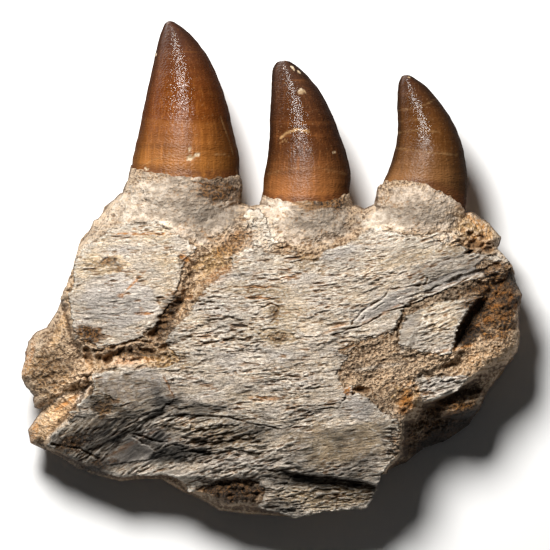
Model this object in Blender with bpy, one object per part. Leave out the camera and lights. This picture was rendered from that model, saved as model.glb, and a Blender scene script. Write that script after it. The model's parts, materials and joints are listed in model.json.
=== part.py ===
"""A fossil mosasaur jaw: three teeth in a broken length of jaw bone, bedded in sandy rock.

It lies on its back. X runs along the jaw towards its front end, Y runs up the teeth and Z stands
off the surface that it lies on. Outlines and heights below are in millimetres.
"""

import math

import bmesh
import bpy
from mathutils import Matrix, Vector, noise

MM = 0.001

# Driving dimensions
GAP = 0.3                # clearance between pieces that touch
CREST = 45.0             # front of the jaw bone above the resting face, at its highest
CREST_X = 5.0
CREST_Y = -12.0
BARREL_ALONG = 0.0011    # how fast the bone's face falls away along the jaw, per mm
BARREL_ACROSS = 0.0032   # and across it
SAND_DEPTH = 2.6         # the rock's face below the bone's face
GRID_STEP = 2.6          # spacing of the points that a rough face is shaped from
SKY = 60.0               # above every piece of bone and rock

# The rock's edge, seen from the front, from the rear tooth round by the left
ROCK = (
    (-46.5, 26.5), (-50.5, 25.0), (-54.0, 21.8), (-57.6, 17.0), (-59.2, 16.2), (-61.0, 12.0),
    (-64.0, 8.3), (-65.2, 3.0), (-66.5, -2.0), (-69.2, -8.0), (-71.5, -14.0), (-75.0, -19.5),
    (-78.6, -21.0), (-81.2, -24.2), (-82.3, -30.6), (-84.0, -35.8), (-81.8, -39.4), (-79.4, -42.5),
    (-79.3, -46.4), (-76.8, -47.2), (-79.2, -50.6), (-81.6, -54.0), (-80.8, -58.4), (-74.6, -61.4),
    (-70.4, -63.6), (-65.4, -67.0), (-58.2, -69.6), (-51.0, -71.4), (-42.0, -70.6), (-36.8, -70.8),
    (-29.6, -75.0), (-22.8, -77.9), (-17.4, -81.2), (-8.0, -82.5), (3.0, -83.1), (7.4, -83.4), (11.0, -81.0),
    (20.0, -78.8), (30.6, -77.6), (34.0, -72.4), (37.0, -68.6), (46.0, -64.8), (51.0, -60.4), (60.0, -57.2),
    (66.8, -52.4), (69.6, -47.0), (73.4, -40.4), (78.6, -33.2), (82.4, -27.4), (83.3, -21.4), (82.6, -15.0),
    (84.0, -8.6), (81.8, -4.2), (80.4, 1.2), (77.4, 4.6), (75.6, 7.0), (77.0, 10.6), (73.0, 15.2),
    (67.0, 19.0), (62.2, 18.9), (57.0, 17.0), (42.0, 18.0), (34.4, 21.4), (31.0, 20.0),
    (28.0, 21.2), (14.0, 19.0), (-2.6, 21.6), (-6.6, 20.8), (-10.4, 21.6), (-24.0, 20.0), (-40.0, 21.0),
)

# Bone pieces
UPPER_PLATE = (
    (-6.3, 7.2), (-6.6, 13.0), (-9.2, 17.6), (-7.6, 19.8), (-4.2, 19.8), (-1.4, 16.6), (0.2, 10.4),
    (5.0, 7.6), (9.4, 5.2), (14.0, 4.4), (19.0, 6.4), (26.0, 8.2), (29.4, 10.6), (30.2, 17.6),
    (33.4, 19.4), (36.6, 17.6), (39.6, 13.0), (45.0, 11.0), (52.0, 11.2), (58.0, 12.6), (61.4, 9.6),
    (65.6, 5.8), (74.0, 4.4), (79.6, 2.6), (79.6, 0.2), (72.0, -2.2), (65.6, -4.4), (57.4, -7.2),
    (50.0, -9.8), (44.4, -12.4), (42.2, -17.0), (40.6, -20.2), (32.6, -23.4), (27.6, -26.4),
    (23.4, -31.8), (21.4, -35.6), (24.2, -40.0), (23.0, -44.6), (14.6, -47.2), (8.0, -49.8),
    (3.2, -53.0), (-3.4, -51.0), (-9.6, -49.6), (-29.0, -48.4), (-43.0, -48.6), (-57.0, -49.2),
    (-65.4, -48.0), (-64.4, -45.6), (-59.4, -40.2), (-59.6, -35.6), (-52.0, -33.2), (-43.0, -33.0),
    (-35.0, -32.6), (-30.6, -30.4), (-34.6, -24.6), (-32.8, -20.4), (-27.0, -15.4), (-24.0, -8.6),
    (-19.0, -4.4), (-12.4, 0.4), (-13.4, 4.4),
)
LOWER_PLATE = (
    (-65.0, -50.2), (-57.0, -50.8), (-43.0, -50.2), (-29.0, -50.0), (-9.6, -51.2), (-3.6, -52.8),
    (3.4, -54.8), (9.0, -51.4), (15.2, -48.8), (23.8, -46.2), (25.8, -42.2), (29.0, -41.4),
    (34.6, -45.4), (38.4, -48.6), (43.2, -50.4), (42.8, -57.0), (41.4, -63.0), (37.4, -67.0),
    (36.0, -70.6), (33.8, -77.0), (31.8, -80.0), (24.0, -80.6), (15.0, -81.6), (7.6, -83.4),
    (3.0, -81.4), (-4.6, -79.8), (-2.4, -77.0), (-2.0, -73.4), (-5.0, -70.4), (-11.0, -69.8), (-18.0, -71.0),
    (-23.4, -73.2), (-27.4, -74.8), (-29.4, -70.4), (-37.0, -68.6), (-50.0, -69.6), (-58.0, -67.4),
    (-66.0, -63.6), (-74.6, -58.6), (-72.6, -54.6), (-67.4, -52.4),
)
REAR_PIECE = (
    (-65.4, 1.6), (-63.2, 5.0), (-55.0, 12.2), (-45.0, 15.4), (-38.0, 15.0), (-31.6, 11.8),
    (-24.6, 7.0), (-28.4, 3.8), (-29.8, -2.0), (-31.8, -8.6), (-37.4, -16.8), (-43.4, -22.6),
    (-50.0, -24.4), (-57.0, -26.4), (-59.6, -24.4), (-65.2, -23.0), (-66.2, -16.0), (-67.2, -8.6),
    (-65.4, -4.2),
)
FRONT_PIECE = (
    (45.8, -15.2), (51.4, -12.8), (58.2, -10.6), (70.0, -8.8), (65.4, -13.8), (61.4, -20.6),
    (60.8, -25.0), (59.4, -28.6), (54.6, -28.2), (48.0, -26.4), (42.8, -25.2), (43.0, -20.2),
)
SPLINTER = ((50.6, -36.6), (57.0, -35.8), (66.0, -35.6), (63.4, -39.4), (56.6, -42.6), (51.0, -44.4), (49.8, -40.6))

# Stretches of rock that lie at a level of their own: outline, height at its middle, rise along X
# and along Y, and the width over which it meets its surroundings
REAR_SHELF = ((-64.0, 6.0), (-67.6, -8.0), (-66.4, -22.0), (-61.0, -31.0), (-66.0, -38.4), (-78.0, -45.4),
              (-90.0, -46.0), (-90.0, 6.0))
REAR_LOG = ((-66.0, -38.6), (-59.6, -38.0), (-64.6, -47.2), (-75.6, -57.6), (-80.0, -64.0), (-92.0, -60.0),
            (-80.0, -46.6))
HOLLOW = ((70.6, -8.2), (65.6, -14.0), (61.4, -21.0), (61.0, -26.4), (68.0, -22.6), (77.0, -19.4), (90.0, -17.0),
          (90.0, -2.0), (80.0, -2.6))
FRONT_SHELF = ((60.6, -27.4), (68.0, -23.4), (77.0, -20.2), (92.0, -18.0), (92.0, -36.0), (70.0, -37.0),
               (56.0, -34.6))
FRONT_WALL = ((38.6, -67.2), (43.6, -62.0), (44.4, -50.8), (47.6, -49.4), (50.4, -44.8), (58.0, -42.8), (67.0, -37.0),
              (76.0, -32.2), (90.0, -24.0), (90.0, -90.0), (38.0, -90.0))
FRONT_STEP = ((56.0, -44.6), (62.0, -43.4), (70.4, -42.0), (71.0, -46.0), (66.6, -49.2), (57.6, -48.6))
FOOT = ((37.0, -67.6), (34.4, -77.6), (31.8, -80.4), (8.0, -83.8), (3.0, -81.2), (-5.0, -79.4), (-16.0, -78.8),
        (-22.0, -76.8), (-28.6, -73.4), (-31.0, -69.6), (-37.0, -68.6), (-50.0, -69.6), (-58.0, -67.4),
        (-70.0, -61.8), (-76.0, -60.0), (-90.0, -90.0), (45.0, -90.0))
LEVELS = (
    (REAR_SHELF, 29.0, 0.22, 0.05, 2.4),
    (REAR_LOG, 26.0, 0.15, 0.12, 1.6),
    (HOLLOW, 26.5, 0.28, -0.10, 2.0),
    (FRONT_SHELF, 33.0, -0.22, 0.16, 2.2),
    (FRONT_WALL, 14.0, -0.35, 0.60, 2.6),
    (FRONT_STEP, 23.0, -0.10, 0.12, 1.2),
    (FOOT, 17.0, 0.0, 0.05, 1.8),
)
LEVEL_CENTRES = ((-72.0, -26.0), (-72.0, -50.0), (73.0, -13.0), (72.0, -28.0), (60.0, -52.0), (64.0, -46.0),
                 (-10.0, -76.0))
RAVINE = ((-8.0, 12.0), (-16.0, 7.4), (-25.0, 4.0), (-28.0, -5.0), (-31.4, -13.0), (-36.4, -20.6), (-41.0, -25.6),
          (-48.0, -28.0), (-57.0, -29.6))
RAVINE_DEPTH = 2.4

# Hollows and splits in the bone: middle X and Y, length, width, depth and turn in degrees
UPPER_PLATE_GOUGES = (
    (0.2, -14.6, 7.5, 3.4, 2.6, 78.0), (3.0, -22.6, 12.5, 4.4, 1.8, -3.0), (32.4, -13.2, 17.0, 1.6, 2.6, 44.0),
    (46.4, -5.0, 14.0, 1.4, 2.2, 9.0), (-20.6, -13.4, 9.0, 1.5, 2.0, 4.0), (-3.0, -9.4, 12.0, 1.2, 1.6, 0.0),
    (-8.0, -34.4, 7.6, 1.2, 1.6, 52.0), (-34.0, -39.0, 10.0, 1.1, 1.4, -63.0), (-54.6, -42.0, 10.0, 5.4, 1.3, 10.0),
    (64.0, 1.2, 17.0, 1.5, 1.6, 7.0), (17.6, -19.0, 11.0, 2.4, 1.3, 12.0),
)
REAR_PIECE_GOUGES = (
    (-42.0, 11.4, 20.0, 1.2, 1.4, 1.0), (-41.6, -14.8, 8.0, 1.3, 1.6, 0.0), (-46.0, -5.0, 12.0, 1.1, 1.3, 45.0),
    (-57.0, -9.0, 12.0, 2.4, 1.2, -5.0),
)
LOWER_PLATE_GOUGES = (
    (-9.0, -60.0, 24.0, 4.4, 1.8, 14.0), (-44.0, -59.4, 22.0, 4.6, 1.6, 13.0), (13.0, -56.6, 17.0, 2.8, 1.5, 24.0),
    (-24.0, -65.4, 22.0, 2.6, 1.6, 18.0), (-60.0, -56.0, 14.0, 2.2, 1.5, 24.0), (22.0, -63.6, 16.0, 2.2, 1.3, 20.0),
)

# Teeth: for each section across the tooth its height Y, its left and right edges in X, its middle
# in Z, its half depth in Z, and how far its right edge and its front lie above its middle
REAR_CROWN = (
    (32.0, -46.9, -10.4, 27.0, 14.6, -1.0, -1.2), (38.2, -45.6, -10.9, 27.2, 14.2, -0.6, -0.8),
    (46.0, -43.8, -13.0, 27.4, 13.2, 0.0, -0.3), (54.0, -42.2, -14.8, 27.2, 11.9, 0.4, 0.0),
    (62.0, -40.6, -17.6, 26.8, 10.2, 0.8, 0.0), (69.0, -39.2, -21.0, 26.2, 8.2, 1.2, 0.0),
    (75.0, -37.9, -25.2, 25.6, 6.0, 1.2, 0.0), (79.4, -36.6, -29.2, 25.2, 4.0, 0.8, 0.0),
    (82.0, -35.4, -32.4, 25.0, 1.8, 0.4, 0.0), (83.0, -34.4, -33.6, 25.0, 0.5, 0.0, 0.0),
)
MIDDLE_CROWN = (
    (25.4, -2.7, 26.2, 28.4, 12.4, 0.3, -3.2), (30.4, -2.2, 26.6, 28.6, 12.2, 0.3, -2.4),
    (37.0, -0.9, 25.2, 28.6, 11.4, 0.3, -1.4), (44.0, -0.2, 22.8, 28.4, 10.3, 0.3, -0.4),
    (51.0, -0.1, 20.1, 28.0, 9.2, 0.6, 0.0), (58.0, 0.3, 16.4, 27.4, 7.6, 0.8, 0.0),
    (63.4, 0.5, 12.2, 27.0, 5.6, 0.8, 0.0), (67.0, 0.8, 8.7, 26.7, 3.8, 0.5, 0.0),
    (69.0, 2.0, 6.3, 26.6, 2.1, 0.2, 0.0), (69.7, 3.6, 4.8, 26.6, 0.6, 0.0, 0.0),
)
FRONT_CROWN = (
    (22.2, 35.6, 65.0, 28.0, 12.4, -2.0, 6.0), (28.6, 38.0, 65.4, 28.4, 12.0, -1.0, 4.6),
    (35.4, 40.4, 64.7, 28.6, 11.0, 0.0, 3.0), (42.0, 42.0, 63.1, 28.4, 9.7, 0.6, 1.6),
    (48.6, 42.7, 60.1, 27.8, 8.2, 1.2, 0.8), (54.6, 42.4, 56.0, 27.2, 6.4, 1.2, 0.2),
    (59.8, 42.6, 51.8, 26.6, 4.5, 1.0, 0.0), (63.0, 43.1, 48.1, 26.2, 2.8, 0.6, 0.0),
    (64.4, 43.9, 46.4, 26.0, 1.4, 0.2, 0.0), (64.9, 44.7, 45.4, 26.0, 0.4, 0.0, 0.0),
)
REAR_ROOT = (
    (0.0, -38.0, -22.0, 17.0, 4.0, 0.0, 0.0), (5.0, -42.0, -18.0, 20.5, 8.0, 0.0, 0.0),
    (13.6, -46.5, -12.6, 24.6, 13.0, 0.0, 0.0), (21.4, -48.6, -10.4, 26.8, 15.4, 0.0, 0.0),
    (27.0, -48.2, -10.2, 27.0, 15.3, -0.5, -0.6), (31.7, -46.9, -10.4, 27.0, 14.6, -1.0, -1.2),
)
MIDDLE_ROOT = (
    (-4.0, 7.0, 19.0, 20.0, 3.6, 0.0, 0.0), (0.0, 4.0, 23.0, 22.0, 7.4, 0.0, 0.0),
    (7.0, 0.0, 28.0, 25.6, 11.8, 0.0, 0.0), (14.4, -3.2, 29.4, 28.2, 14.2, 0.0, -1.2),
    (20.4, -3.8, 28.2, 28.4, 13.7, 0.2, -2.4), (25.1, -2.7, 26.2, 28.4, 12.4, 0.3, -3.2),
)
FRONT_ROOT = (
    (-2.0, 44.0, 54.0, 19.0, 3.4, 0.0, 0.0), (2.0, 41.0, 57.0, 21.4, 7.0, 0.0, 0.0),
    (8.0, 37.6, 60.0, 24.8, 11.0, 0.0, 1.0), (14.0, 35.0, 62.8, 27.6, 13.6, -0.6, 3.0),
    (18.4, 34.2, 64.4, 28.0, 13.6, -1.4, 5.0), (21.9, 35.6, 65.0, 28.0, 12.4, -2.0, 6.0),
)
SECTION_POINTS = 24
KEEL = 0.16              # how far a crown's section narrows towards its two cutting edges

# Colours
ROCK_BROWN = (0.42, 0.31, 0.20, 1.0)
BONE_GREY = (0.58, 0.53, 0.46, 1.0)
ROOT_CREAM = (0.60, 0.52, 0.40, 1.0)
ENAMEL_AMBER = (0.26, 0.10, 0.03, 1.0)
ENAMEL_DARK = (0.13, 0.055, 0.03, 1.0)
ENAMEL_TAN = (0.24, 0.13, 0.055, 1.0)


def clear_scene():
    for obj in list(bpy.data.objects):
        bpy.data.objects.remove(obj)


def new_collection(name):
    collection = bpy.data.collections.new(name)
    bpy.context.scene.collection.children.link(collection)
    return collection


def material(name, colour, roughness):
    made = bpy.data.materials.new(name)
    made.use_nodes = True
    shader = made.node_tree.nodes["Principled BSDF"]
    shader.inputs["Base Color"].default_value = colour
    shader.inputs["Roughness"].default_value = roughness
    shader.inputs["Metallic"].default_value = 0.0
    return made


def smooth_step(value, low, high):
    t = min(max((value - low) / (high - low), 0.0), 1.0)
    return t * t * (3.0 - 2.0 * t)


def distance_to_path(x, y, path):
    nearest = math.inf
    for (ax, ay), (bx, by) in zip(path, path[1:]):
        length_squared = (bx - ax) ** 2 + (by - ay) ** 2
        t = ((x - ax) * (bx - ax) + (y - ay) * (by - ay)) / length_squared
        t = min(max(t, 0.0), 1.0)
        nearest = min(nearest, math.hypot(x - ax - t * (bx - ax), y - ay - t * (by - ay)))
    return nearest


def depth_inside(x, y, outline):
    """Distance from a point to an outline, positive inside it and negative outside."""
    closed = outline + outline[:1]
    inside = False
    for (ax, ay), (bx, by) in zip(closed, closed[1:]):
        if (ay > y) != (by > y) and x < ax + (y - ay) / (by - ay) * (bx - ax):
            inside = not inside
    nearest = distance_to_path(x, y, closed)
    return nearest if inside else -nearest


def roughness_at(x, y, size, depth):
    """Broken relief of a given grain size and depth."""
    return depth * noise.fractal(Vector((x / size, y / size, 7.3)), 0.9, 2.0, 3)


def jaw_face(x, y):
    """The outer wall of the jaw bone: a barrel that turns away below."""
    z = CREST
    z -= BARREL_ALONG * (x - CREST_X) ** 2
    z -= BARREL_ACROSS * (y - CREST_Y) ** 2
    z -= 9.0 * smooth_step(-y, 46.0, 66.0) * smooth_step(-x, 5.0, 45.0)
    z -= 5.0 * smooth_step(x, 56.0, 80.0)
    return z


def upper_plate_face(x, y):
    long_splinter = smooth_step(x - 1.6 * (y + 22.0), 18.0, 24.0) * smooth_step(-y, -1.0, 6.0)
    return jaw_face(x, y) - 1.8 * long_splinter + roughness_at(x * 0.4, y, 9.0, 0.9)


def lower_plate_face(x, y):
    under_ledge = smooth_step(-y, 67.6, 69.6) * smooth_step(x, -2.0, 6.0)
    broken_foot = smooth_step(-y, 69.0, 72.0) * smooth_step(-x, 2.0, 6.0)
    return jaw_face(x, y) - 1.6 - 4.6 * under_ledge - 3.0 * broken_foot + roughness_at(x * 0.4, y, 8.0, 1.3)


def rear_piece_face(x, y):
    return jaw_face(x, y) + 0.4 - 2.2 * smooth_step(y, 11.0, 16.0) + roughness_at(x * 0.4, y, 9.0, 0.8)


def front_piece_face(x, y):
    return jaw_face(x, y) - 1.6 + 0.06 * (x - 55.0) + roughness_at(x * 0.4, y, 8.0, 1.0)


def splinter_face(x, y):
    return 36.0 - 0.10 * (x - 50.0) + 0.25 * (y + 40.0) + roughness_at(x * 0.4, y, 6.0, 0.8)


def rock_face(x, y):
    """The sandy rock: just under the bone, with shelves and hollows round it and a rounded edge."""
    z = jaw_face(x, y) - SAND_DEPTH
    z -= RAVINE_DEPTH * (1.0 - smooth_step(distance_to_path(x, y, RAVINE), 0.6, 3.4))
    for (outline, height, along, up, soft), (cx, cy) in zip(LEVELS, LEVEL_CENTRES):
        level = height + along * (x - cx) + up * (y - cy)
        z += (level - z) * smooth_step(depth_inside(x, y, outline), -soft, soft)
    edge = min(max(depth_inside(x, y, ROCK), 0.0), 7.0) / 7.0
    z -= 8.0 * (1.0 - math.sqrt(1.0 - (1.0 - edge) ** 2))
    return max(z + roughness_at(x, y, 7.0, 1.7), 3.0)


def mesh_object(name, mesh, collection):
    made = bpy.data.objects.new(name, mesh)
    collection.objects.link(made)
    return made


def apply_modifiers(obj):
    """Keeps what the object's modifiers make as its own mesh."""
    graph = bpy.context.evaluated_depsgraph_get()
    mesh = bpy.data.meshes.new_from_object(obj.evaluated_get(graph))
    obj.modifiers.clear()
    obj.data = mesh


def prism(name, outline, low, high, collection):
    """A filled outline drawn out between two heights."""
    curve = bpy.data.curves.new(name, "CURVE")
    curve.dimensions = "2D"
    curve.fill_mode = "BOTH"
    curve.extrude = (high - low) / 2.0 * MM
    spline = curve.splines.new("POLY")
    spline.points.add(len(outline) - 1)
    for point, (x, y) in zip(spline.points, outline):
        point.co = (x * MM, y * MM, 0.0, 1.0)
    spline.use_cyclic_u = True
    drawn = mesh_object(name + "_curve", curve, collection)
    drawn.location.z = (low + high) / 2.0 * MM
    bpy.context.view_layer.update()
    graph = bpy.context.evaluated_depsgraph_get()
    mesh = bpy.data.meshes.new_from_object(drawn.evaluated_get(graph))
    mesh.transform(drawn.matrix_world)
    bpy.data.objects.remove(drawn)
    shaped = bmesh.new()
    shaped.from_mesh(mesh)
    bmesh.ops.remove_doubles(shaped, verts=shaped.verts, dist=0.01 * MM)
    bmesh.ops.recalc_face_normals(shaped, faces=shaped.faces)
    shaped.to_mesh(mesh)
    shaped.free()
    return mesh_object(name, mesh, collection)


def ground_block(name, face, outline, keep, collection):
    """All that lies under a rough face, over the outline's bounds, with its flat stretches thinned."""
    margin = 4.0
    xs = [x for x, y in outline]
    ys = [y for x, y in outline]
    width = max(xs) - min(xs) + 2.0 * margin
    height = max(ys) - min(ys) + 2.0 * margin
    centre_x = (max(xs) + min(xs)) / 2.0
    centre_y = (max(ys) + min(ys)) / 2.0
    shaped = bmesh.new()
    bmesh.ops.create_grid(
        shaped,
        x_segments=round(width / GRID_STEP),
        y_segments=round(height / GRID_STEP),
        size=0.5,
    )
    for vert in shaped.verts:
        x = centre_x + vert.co.x * width
        y = centre_y + vert.co.y * height
        vert.co = (x * MM, y * MM, face(x, y) * MM)
    bmesh.ops.triangulate(shaped, faces=shaped.faces)
    mesh = bpy.data.meshes.new(name)
    shaped.to_mesh(mesh)
    shaped.free()
    block = mesh_object(name, mesh, collection)
    thin = block.modifiers.new("thin", "DECIMATE")
    thin.ratio = keep
    apply_modifiers(block)
    shaped = bmesh.new()
    shaped.from_mesh(block.data)
    down = bmesh.ops.extrude_face_region(shaped, geom=shaped.faces[:])
    for item in down["geom"]:
        if isinstance(item, bmesh.types.BMVert):
            item.co.z = -10.0 * MM
    bmesh.ops.recalc_face_normals(shaped, faces=shaped.faces)
    shaped.to_mesh(block.data)
    shaped.free()
    return block


def cut(obj, cutter, operation):
    """Joins, cuts or keeps what is common with another solid, which is then removed."""
    boolean = obj.modifiers.new(operation.lower(), "BOOLEAN")
    boolean.operation = operation
    boolean.solver = "EXACT"
    boolean.object = cutter
    apply_modifiers(obj)
    bpy.data.objects.remove(cutter)


def grown(obj, amount, collection):
    """A copy of a solid that stands out by a given amount, to cut a neighbour with."""
    copy = mesh_object(obj.name + "_grown", obj.data.copy(), collection)
    swell = copy.modifiers.new("swell", "DISPLACE")
    swell.mid_level = 0.0
    swell.strength = amount * MM
    apply_modifiers(copy)
    return copy


def gouge(bone, face, gouges, collection):
    """Cuts long hollows and splits into a bone's face."""
    for x, y, length, width, depth, turn in gouges:
        shaped = bmesh.new()
        bmesh.ops.create_uvsphere(shaped, u_segments=6, v_segments=4, radius=MM)
        bmesh.ops.scale(shaped, verts=shaped.verts, vec=(length / 2.0, width / 2.0, depth))
        turned = Matrix.Rotation(math.radians(turn), 4, "Z")
        turned.translation = (x * MM, y * MM, face(x, y) * MM)
        shaped.transform(turned)
        mesh = bpy.data.meshes.new(bone.name + "_gouge")
        shaped.to_mesh(mesh)
        shaped.free()
        cut(bone, mesh_object(mesh.name, mesh, collection), "DIFFERENCE")


def drop_crumbs(obj):
    """Keeps only the largest body of a solid that cutting has left in several."""
    shaped = bmesh.new()
    shaped.from_mesh(obj.data)
    left = set(shaped.verts)
    bodies = []
    while left:
        body = {left.pop()}
        edge_of_body = list(body)
        while edge_of_body:
            vert = edge_of_body.pop()
            for edge in vert.link_edges:
                other = edge.other_vert(vert)
                if other not in body:
                    body.add(other)
                    edge_of_body.append(other)
        left -= body
        bodies.append(body)
    bodies.sort(key=len)
    for body in bodies[:-1]:
        bmesh.ops.delete(shaped, geom=list(body), context="VERTS")
    shaped.to_mesh(obj.data)
    shaped.free()


def loft(name, sections, keel, collection):
    """A tooth or root: oval sections across it, joined from the first to the last."""
    shaped = bmesh.new()
    rings = []
    for height, left, right, middle, depth, tilt, lean in sections:
        ring = []
        for i in range(SECTION_POINTS):
            angle = 2.0 * math.pi * i / SECTION_POINTS
            across = math.cos(angle)
            x = (left + right) / 2.0 + (right - left) / 2.0 * across
            off = math.sin(angle) * (1.0 - keel * across * across)
            y = height + tilt * across + lean * off
            z = middle + depth * off
            ring.append(shaped.verts.new((x * MM, y * MM, z * MM)))
        rings.append(ring)
    for lower, upper in zip(rings, rings[1:]):
        for i in range(SECTION_POINTS):
            j = (i + 1) % SECTION_POINTS
            shaped.faces.new((lower[i], lower[j], upper[j], upper[i]))
    shaped.faces.new(rings[0])
    shaped.faces.new(rings[-1])
    bmesh.ops.recalc_face_normals(shaped, faces=shaped.faces)
    mesh = bpy.data.meshes.new(name)
    shaped.to_mesh(mesh)
    shaped.free()
    return mesh_object(name, mesh, collection)


def rock_column(name, collection):
    """The rock's walls up to the sky: it stands on a smaller foot than its edge, but flares at the front below."""
    column = prism(name, ROCK, 0.0, SKY, collection)
    shaped = bmesh.new()
    shaped.from_mesh(column.data)
    for height in (5.0, 11.0, 17.0, 23.0):
        bmesh.ops.bisect_plane(
            shaped,
            geom=shaped.verts[:] + shaped.edges[:] + shaped.faces[:],
            plane_co=(0.0, 0.0, height * MM),
            plane_no=(0.0, 0.0, 1.0),
        )
    for vert in shaped.verts:
        x, y, z = (value / MM for value in vert.co)
        flared = smooth_step(x - y, 92.0, 112.0)
        rise = min(z / 22.0, 1.0)
        inset = 0.085 * (1.0 - flared) * (1.0 - rise) ** 1.6
        if z < 22.0:
            inset += 0.03 * (0.4 + roughness_at(x + 2.0 * z, y - 2.0 * z, 13.0, 1.0)) * math.sin(math.pi * rise)
        vert.co.x -= vert.co.x * inset
        vert.co.y -= (vert.co.y + 28.0 * MM) * inset
    shaped.to_mesh(column.data)
    shaped.free()
    return column


def centre_over_origin(objects):
    """Moves everything so that its bounds are centred over the origin and its base is at zero."""
    points = [vert.co for obj in objects for vert in obj.data.vertices]
    low = Vector(min(point[axis] for point in points) for axis in range(3))
    high = Vector(max(point[axis] for point in points) for axis in range(3))
    move = Matrix.Translation((-(low.x + high.x) / 2.0, -(low.y + high.y) / 2.0, -low.z))
    for obj in objects:
        obj.data.transform(move)


def finish(obj, look, smooth_angle):
    obj.data.materials.clear()
    obj.data.materials.append(look)
    obj.data.shade_smooth()
    obj.data.set_sharp_from_angle(angle=math.radians(smooth_angle))


def build():
    clear_scene()
    fossil = new_collection("fossil_mosasaur_jaw")
    helpers = new_collection("cutters")

    roots = [
        loft("rear_tooth_root", REAR_ROOT, 0.0, fossil),
        loft("middle_tooth_root", MIDDLE_ROOT, 0.0, fossil),
        loft("front_tooth_root", FRONT_ROOT, 0.0, fossil),
    ]
    crowns = [
        loft("rear_tooth_crown", REAR_CROWN, KEEL, fossil),
        loft("middle_tooth_crown", MIDDLE_CROWN, KEEL, fossil),
        loft("front_tooth_crown", FRONT_CROWN, KEEL, fossil),
    ]

    rock = rock_column("rock_matrix", fossil)
    cut(rock, ground_block("rock_face", rock_face, ROCK, 0.25, helpers), "INTERSECT")

    bones = []
    for name, outline, face, underside, keep, gouges in (
        ("jaw_bone_upper_plate", UPPER_PLATE, upper_plate_face, 25.0, 0.26, UPPER_PLATE_GOUGES),
        ("jaw_bone_lower_plate", LOWER_PLATE, lower_plate_face, 14.0, 0.36, LOWER_PLATE_GOUGES),
        ("jaw_bone_rear_piece", REAR_PIECE, rear_piece_face, 30.0, 0.36, REAR_PIECE_GOUGES),
        ("jaw_bone_front_piece", FRONT_PIECE, front_piece_face, 25.0, 0.55, ()),
        ("jaw_bone_splinter", SPLINTER, splinter_face, 27.0, 0.60, ()),
    ):
        bone = prism(name, outline, underside, SKY, fossil)
        cut(rock, grown(bone, 1.5 * GAP, helpers), "DIFFERENCE")
        cut(bone, ground_block(name + "_face", face, outline, keep, helpers), "INTERSECT")
        gouge(bone, face, gouges, helpers)
        for root in roots:
            cut(bone, grown(root, 1.5 * GAP, helpers), "DIFFERENCE")
        bones.append(bone)

    for piece in roots + crowns:
        cut(rock, grown(piece, 1.5 * GAP, helpers), "DIFFERENCE")
    drop_crumbs(rock)

    centre_over_origin([rock] + bones + roots + crowns)
    finish(rock, material("sandy_rock", ROCK_BROWN, 0.95), 35.0)
    bone_look = material("fossil_bone", BONE_GREY, 0.85)
    for bone in bones:
        finish(bone, bone_look, 35.0)
    root_look = material("root_cement", ROOT_CREAM, 0.9)
    for root in roots:
        finish(root, root_look, 50.0)
    for crown, colour in zip(crowns, (ENAMEL_AMBER, ENAMEL_DARK, ENAMEL_TAN)):
        finish(crown, material(crown.name + "_enamel", colour, 0.3), 50.0)


build()
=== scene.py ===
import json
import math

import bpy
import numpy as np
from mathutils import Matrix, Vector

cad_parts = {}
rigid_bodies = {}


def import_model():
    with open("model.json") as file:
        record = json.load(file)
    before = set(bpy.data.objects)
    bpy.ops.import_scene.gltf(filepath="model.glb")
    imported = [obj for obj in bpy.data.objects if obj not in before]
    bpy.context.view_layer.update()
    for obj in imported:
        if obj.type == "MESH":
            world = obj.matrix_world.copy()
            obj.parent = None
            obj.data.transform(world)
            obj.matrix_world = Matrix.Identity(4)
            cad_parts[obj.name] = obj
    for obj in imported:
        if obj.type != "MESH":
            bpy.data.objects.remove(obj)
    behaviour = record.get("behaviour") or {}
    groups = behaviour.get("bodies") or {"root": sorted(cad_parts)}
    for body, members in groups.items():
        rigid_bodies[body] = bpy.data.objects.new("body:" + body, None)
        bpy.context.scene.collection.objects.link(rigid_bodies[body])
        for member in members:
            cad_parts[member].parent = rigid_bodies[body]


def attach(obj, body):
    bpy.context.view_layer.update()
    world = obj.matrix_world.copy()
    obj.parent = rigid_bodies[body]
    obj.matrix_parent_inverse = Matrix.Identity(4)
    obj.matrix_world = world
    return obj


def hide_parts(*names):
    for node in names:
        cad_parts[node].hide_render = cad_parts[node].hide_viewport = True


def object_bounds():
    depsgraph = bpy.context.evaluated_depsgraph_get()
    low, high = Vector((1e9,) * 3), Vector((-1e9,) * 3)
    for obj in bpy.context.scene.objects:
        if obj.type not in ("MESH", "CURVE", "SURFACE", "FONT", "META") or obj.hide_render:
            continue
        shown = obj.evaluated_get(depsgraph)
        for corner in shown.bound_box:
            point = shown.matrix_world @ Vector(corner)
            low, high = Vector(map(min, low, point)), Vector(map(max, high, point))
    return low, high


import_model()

# A fossil mosasaur jaw on its back: cracked, fibrous bone plates and three enamelled teeth in sandy rock.
# Numbers are millimetres unless they say otherwise. X runs along the jaw towards its front, Y up the
# teeth and Z off the table. One plan of the whole front, finely gridded, is shaped first; each bone and
# the rock are then cut from grids that take their heights and stains from it.

cad_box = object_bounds()

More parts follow.
